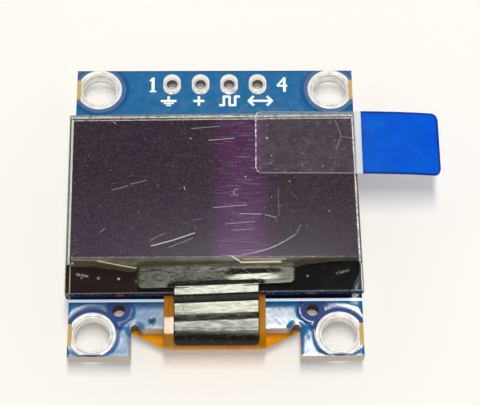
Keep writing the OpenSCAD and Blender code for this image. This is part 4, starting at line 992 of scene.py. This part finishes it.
# the film's upper run is painted darker than its wings and tail: painted shade
feed(tree, mixColour(tree, calc(tree, "MULTIPLY", largest(tree, calc(tree, "MULTIPLY", trace, 0.3), calc(tree, "MULTIPLY", onTop, 0.8)), 0.9), ground, tint(*flex["dark"])), shader, "Base Color")
bumpFrom(tree, shader, trace, 0.018)
flexPiece = finishPiece("flexFilm", bm, [polyimide], ["flex_cable"], sharp=60)
thick = flexPiece.modifiers.new("thickness", "SOLIDIFY")
thick.thickness, thick.offset = flex["thickness"] / 1000, 0.0
print("flex cable made")


# ---- cover tape: a T of thin glossy tape over the ledge, the glass's edge and the fold

cover = {
    "headHalf": 6.55, "stemHalf": 3.525, "headEnd": 2.05, "corner": 0.5, "turn": 2.2, "thickness": 0.05, "stemMiddle": 0.06,
    "path": [(-6.13, 1.915), (-6.7, 1.915), (-7.3, 1.918), (-7.75, 1.925), (-8.0, 1.952), (-8.14, 1.958), (-8.45, 1.94), (-8.75, 1.895), (-8.93, 1.82),
             (-9.03, 1.66), (-9.15, 1.46), (-9.28, 1.335), (-9.5, 1.277), (-9.9, 1.232), (-10.22, 1.21), (-10.4, 1.21), (-10.7, 1.224),
             (-10.93, 1.238), (-11.05, 1.236), (-11.4, 1.18), (-11.75, 1.1), (-12.1, 0.985), (-12.35, 0.87), (-12.6, 0.7), (-12.78, 0.49), (-12.84, 0.4)],
    "black": (12, 1, 0), "olive": (24, 21, 11),
}
walk = smoothPath(cover["path"], 0.06)
total = (len(walk) - 1) * 0.06
bm = bmesh.new()
bmesh.ops.create_grid(bm, x_segments=96, y_segments=len(walk) - 1, size=1.0)
for v in bm.verts:
    row = round((v.co.y + 1) / 2 * (len(walk) - 1))
    s, (y, z) = row * 0.06, walk[row]
    def rounded(toEnd, half):
        if toEnd >= cover["corner"]:
            return half
        return half - cover["corner"] + math.sqrt(max(cover["corner"] ** 2 - (cover["corner"] - toEnd) ** 2, 0.0))
    if s < cover["headEnd"]:
        half = min(rounded(s, cover["headHalf"]), rounded(cover["headEnd"] - s, cover["headHalf"]))
        half = max(half, cover["stemHalf"] + 0.7)
    else:
        half = min(cover["stemHalf"] + 0.7 * (1 - smoothStep(s, cover["headEnd"] + 0.1, cover["headEnd"] + 1.15)), rounded(total - s, cover["stemHalf"]))
    x = v.co.x * half
    skew = math.tan(math.radians(cover["turn"])) * x * (1 - smoothStep(s, 5.3, 6.9))
    outer = smoothStep(abs(x), cover["stemHalf"] - 0.05, cover["stemHalf"] + 0.5)
    if s < cover["headEnd"] + 0.05:
        z += (1.918 - z) * outer
    wave = 0.002 * math.sin(x * 2.3 + s * 1.7) + 0.0008 * math.sin(x * 5.1 - s * 3.1)
    ridge = 0.03 * smoothStep(x, 0.6, 1.8) * (1 - smoothStep(x, 4.0, 5.6)) * smoothStep(y, -7.75, -7.2) * (1 - smoothStep(y, -7.2, -6.75))
    z += ridge * 1.3
    v.co = Vector((cover["stemMiddle"] + x, y + skew, z + wave * smoothStep(s, 2.6, 3.6) * (1 - smoothStep(s, total - 0.8, total))))
coverTape, tree, shader = newFinish("coverTape", tint(*cover["black"]), 0.2, ior=1.52)
shader.inputs["Specular Tint"].default_value = (0.97, 1.0, 0.9, 1)
place = placeIn(tree)
parts = addNode(tree, "ShaderNodeSeparateXYZ", {0: place})
onHead = ramp(tree, parts.outputs[1], -8.9, -8.5)
cloud = useGroup(tree, softGrain, {"Place": place, "Scale": 0.7, "Detail": 4.0, "Low": 0.3, "High": 0.7})
brushed = addNode(tree, "ShaderNodeTexNoise", {"Vector": addNode(tree, "ShaderNodeMapping", {"Vector": place, "Rotation": (0, 0, 0.8), "Scale": (1.0, 6.0, 1.0)}).outputs[0],
                  "Scale": 1.0, "Detail": 5.0, "Roughness": 0.65}).outputs[0]
scuff = largest(tree, useGroup(tree, hairScratches, {"Place": place, "Turn": 0.75, "Spacing": 0.5, "Stretch": 3.0, "Size": 0.09}),
                *[useGroup(tree, lineMark, {"Place": place, "From": (*a, 0), "To": (*b, 0), "Width": 0.012, "Soft": 0.05})
                  for a, b in [((2.25, -6.6), (3.7, -7.8)), ((-1.6, -6.9), (-0.3, -6.3)), ((4.1, -6.55), (4.7, -7.0))]])
olive = mixColour(tree, cloud, tint(*cover["olive"]), tint(38, 34, 20))
ground = mixColour(tree, onHead, tint(*cover["black"]), olive)
feed(tree, mixColour(tree, calc(tree, "MULTIPLY", scuff, 0.3), ground, tint(150, 150, 138)), shader, "Base Color")
worn = ramp(tree, parts.outputs[1], -9.6, -12.2, 0.02, 0.14)
feed(tree, calc(tree, "ADD", ramp(tree, brushed, 0.35, 0.65, 0.05, 0.2), worn), shader, "Roughness")
rise = calc(tree, "MULTIPLY", calc(tree, "ADD", brushed, calc(tree, "MULTIPLY", scuff, 0.3)), ramp(tree, onHead, 0.0, 1.0, 1.0, 0.3))
bumpFrom(tree, shader, rise, 0.006, strength=0.8)
coverPiece = finishPiece("coverTape", bm, [coverTape], ["cover_tape"], sharp=60, recalc=False)
thick = coverPiece.modifiers.new("thickness", "SOLIDIFY")
thick.thickness, thick.offset = cover["thickness"] / 1000, 0.0
print("cover tape made")


# ---- parts on the back

backParts = {
    "ceramic": (176, 138, 96), "ceramicDark": (150, 112, 74), "resistorBlack": (24, 25, 28), "end": (206, 206, 200),
    "moulded": (30, 30, 33), "solder": (196, 198, 198), "round": 0.035, "endLength": 0.35,
}
ends, tree, shader = newFinish("tinnedEnds", tint(*backParts["end"]), 0.36, metallic=1.0)
place = placeIn(tree)
patch = useGroup(tree, softGrain, {"Place": place, "Scale": 4.0, "Detail": 4.0, "Low": 0.35, "High": 0.7})
feed(tree, mixColour(tree, patch, tint(*backParts["end"]), tint(168, 166, 160)), shader, "Base Color")
bumpFrom(tree, shader, patch, 0.02)


def partFinish(name, light, dark, roughness, grain, depth):
    finish, tree, shader = newFinish(name, tint(*light), roughness)
    speckle = useGroup(tree, softGrain, {"Place": placeIn(tree), "Scale": grain, "Detail": 5.0, "Low": 0.35, "High": 0.7})
    feed(tree, mixColour(tree, speckle, tint(*light), tint(*dark)), shader, "Base Color")
    feed(tree, ramp(tree, speckle, 0.0, 1.0, roughness - 0.08, roughness + 0.1), shader, "Roughness")
    bumpFrom(tree, shader, speckle, depth)
    return finish


def chipPiece(node, body):
    bm = copyNode(node)
    low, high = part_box(node)
    middle, half = (low.y + high.y) * 500, (high.y - low.y) * 500
    bevelSharp(bm, backParts["round"], segments=3)
    for face in bm.faces:
        face.material_index = int(abs(face.calc_center_median().y - middle) > half - backParts["endLength"] - 0.001)
    return finishPiece(node.replace("_", "") + "Part", bm, [body, ends], [node], recalc=False)


ceramic = partFinish("capacitorCeramic", backParts["ceramic"], backParts["ceramicDark"], 0.5, 6.0, 0.01)
resistorBody = partFinish("resistorBlack", backParts["resistorBlack"], (40, 41, 44), 0.32, 5.0, 0.008)
for i in range(8):
    chipPiece(f"capacitor_{i + 1}", ceramic)
for i in range(6):
    chipPiece(f"resistor_{i + 1}", resistorBody)
chipPiece("address_resistor", resistorBody)

moulded, tree, shader = newFinish("mouldedBlack", tint(*backParts["moulded"]), 0.55)
place = placeIn(tree)
pitted = useGroup(tree, softGrain, {"Place": place, "Scale": 14.0, "Detail": 4.0, "Low": 0.3, "High": 0.75})
low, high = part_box("diode")
band = ramp(tree, calc(tree, "SUBTRACT", addNode(tree, "ShaderNodeSeparateXYZ", {0: place}).outputs[1], high.y * 1000 - 0.5), -0.01, 0.01)
onDiode = useGroup(tree, plateDistance, {"Place": place, "Centre": ((low.x + high.x) * 500, high.y * 1000 - 0.38, 0), "Half": (0.5, 0.11, 0)})
band = ramp(tree, onDiode, -0.01, 0.01, 1.0, 0.0)
low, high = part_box("regulator")
dot = ramp(tree, useGroup(tree, discDistance, {"Place": place, "Centre": (low.x * 1000 + 0.5, (low.y + high.y) * 500 - 0.25, 0), "Radius": 0.16}), -0.02, 0.02, 1.0, 0.0)
black = mixColour(tree, pitted, tint(*backParts["moulded"]), tint(44, 44, 47))
feed(tree, mixColour(tree, band, black, tint(196, 196, 190)), shader, "Base Color")
bumpFrom(tree, shader, calc(tree, "SUBTRACT", calc(tree, "MULTIPLY", pitted, 0.2), dot), 0.05)
solder, tree, shader = newFinish("brightSolder", tint(*backParts["solder"]), 0.25, metallic=1.0)
place = placeIn(tree)
frost = useGroup(tree, softGrain, {"Place": place, "Scale": 3.0, "Detail": 5.0, "Low": 0.35, "High": 0.7})
feed(tree, mixColour(tree, frost, tint(*backParts["solder"]), tint(160, 160, 158)), shader, "Base Color")
feed(tree, ramp(tree, frost, 0.0, 1.0, 0.16, 0.36), shader, "Roughness")
bumpFrom(tree, shader, frost, 0.02)
for node, finish, slotName, width in [("regulator", moulded, "moulded_black", 0.04), ("diode", moulded, "moulded_black", 0.04),
                                      ("regulator_leads", ends, "tinned_copper", 0.03), ("diode_leads", ends, "tinned_copper", 0.03),
                                      ("tail_solder", solder, "solder", 0.05), ("solder_fillets", solder, "solder", 0.015)]:
    bm = copyNode(node)
    bevelSharp(bm, width, segments=2, angle=25)
    finishPiece(node.replace("_", "") + "Part", bm, [finish], [node], recalc=False)
print("parts on the back made")


# ---- white outlines on the back

def backPrint(name, bars):
    bm = bmesh.new()
    for start, end, width in bars:
        addBar(bm, start, end, width, board["back"] - printed["high"], board["back"] - printed["low"])
    return finishPiece(name, bm, [ink], recalc=False)


def boxBars(left, low, right, high, width=0.15):
    return [((left, low), (right, low), width), ((left, high), (right, high), width), ((left, low), (left, high), width), ((right, low), (right, high), width)]


outlines = []
for node in [f"capacitor_{i + 1}" for i in range(8)] + [f"resistor_{i + 1}" for i in range(6)]:
    low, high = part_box(node)
    x, y, half = (low.x + high.x) * 500, (low.y + high.y) * 500, (high.x - low.x) * 500
    for side in (-1, 1):
        outlines.append(((x + side * (half + 0.2), y - 1.25), (x + side * (half + 0.2), y + 1.25), 0.13))
backPrint("partOutlines", outlines)
low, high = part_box("address_resistor")
x, y = (low.x + high.x) * 500, (low.y + high.y) * 500
backPrint("addressOutline", boxBars(x - 1.1, y - 1.9, x + 1.1, y + 1.9) + [((x - 1.1, y - 2.4), (x + 1.1, y - 2.4), 0.2)])
for node in ("regulator", "diode"):
    low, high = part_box(node)
    grow = (0.12, 0.1) if node == "regulator" else (0.18, 0.1)
    backPrint(node + "Outline", boxBars(low.x * 1000 - grow[0], low.y * 1000 - grow[1], high.x * 1000 + grow[0], high.y * 1000 + grow[1], 0.12))
backPrint("padOutline", boxBars(-5.25, 11.1, 5.25, 13.35))
y = 10.35
backPrint("backPinMarks", [((-4.1, y + 0.05), (-4.1, y + 0.5), 0.15), ((-4.6, y), (-3.6, y), 0.15), ((-4.4, y - 0.22), (-3.8, y - 0.22), 0.12), ((-4.2, y - 0.42), (-4.0, y - 0.42), 0.12),
                           ((-1.27, y - 0.4), (-1.27, y + 0.4), 0.15), ((-1.67, y), (-0.87, y), 0.15),
                           ((0.6, y - 0.35), (1.0, y - 0.35), 0.15), ((1.0, y - 0.35), (1.0, y + 0.35), 0.15), ((1.0, y + 0.35), (1.5, y + 0.35), 0.15),
                           ((1.5, y + 0.35), (1.5, y - 0.35), 0.15), ((1.5, y - 0.35), (1.9, y - 0.35), 0.15),
                           ((3.1, y), (4.6, y), 0.15), ((3.1, y), (3.4, y + 0.3), 0.13), ((3.1, y), (3.4, y - 0.3), 0.13),
                           ((4.6, y), (4.3, y + 0.3), 0.13), ((4.6, y), (4.3, y - 0.3), 0.13)])
print("back print made")
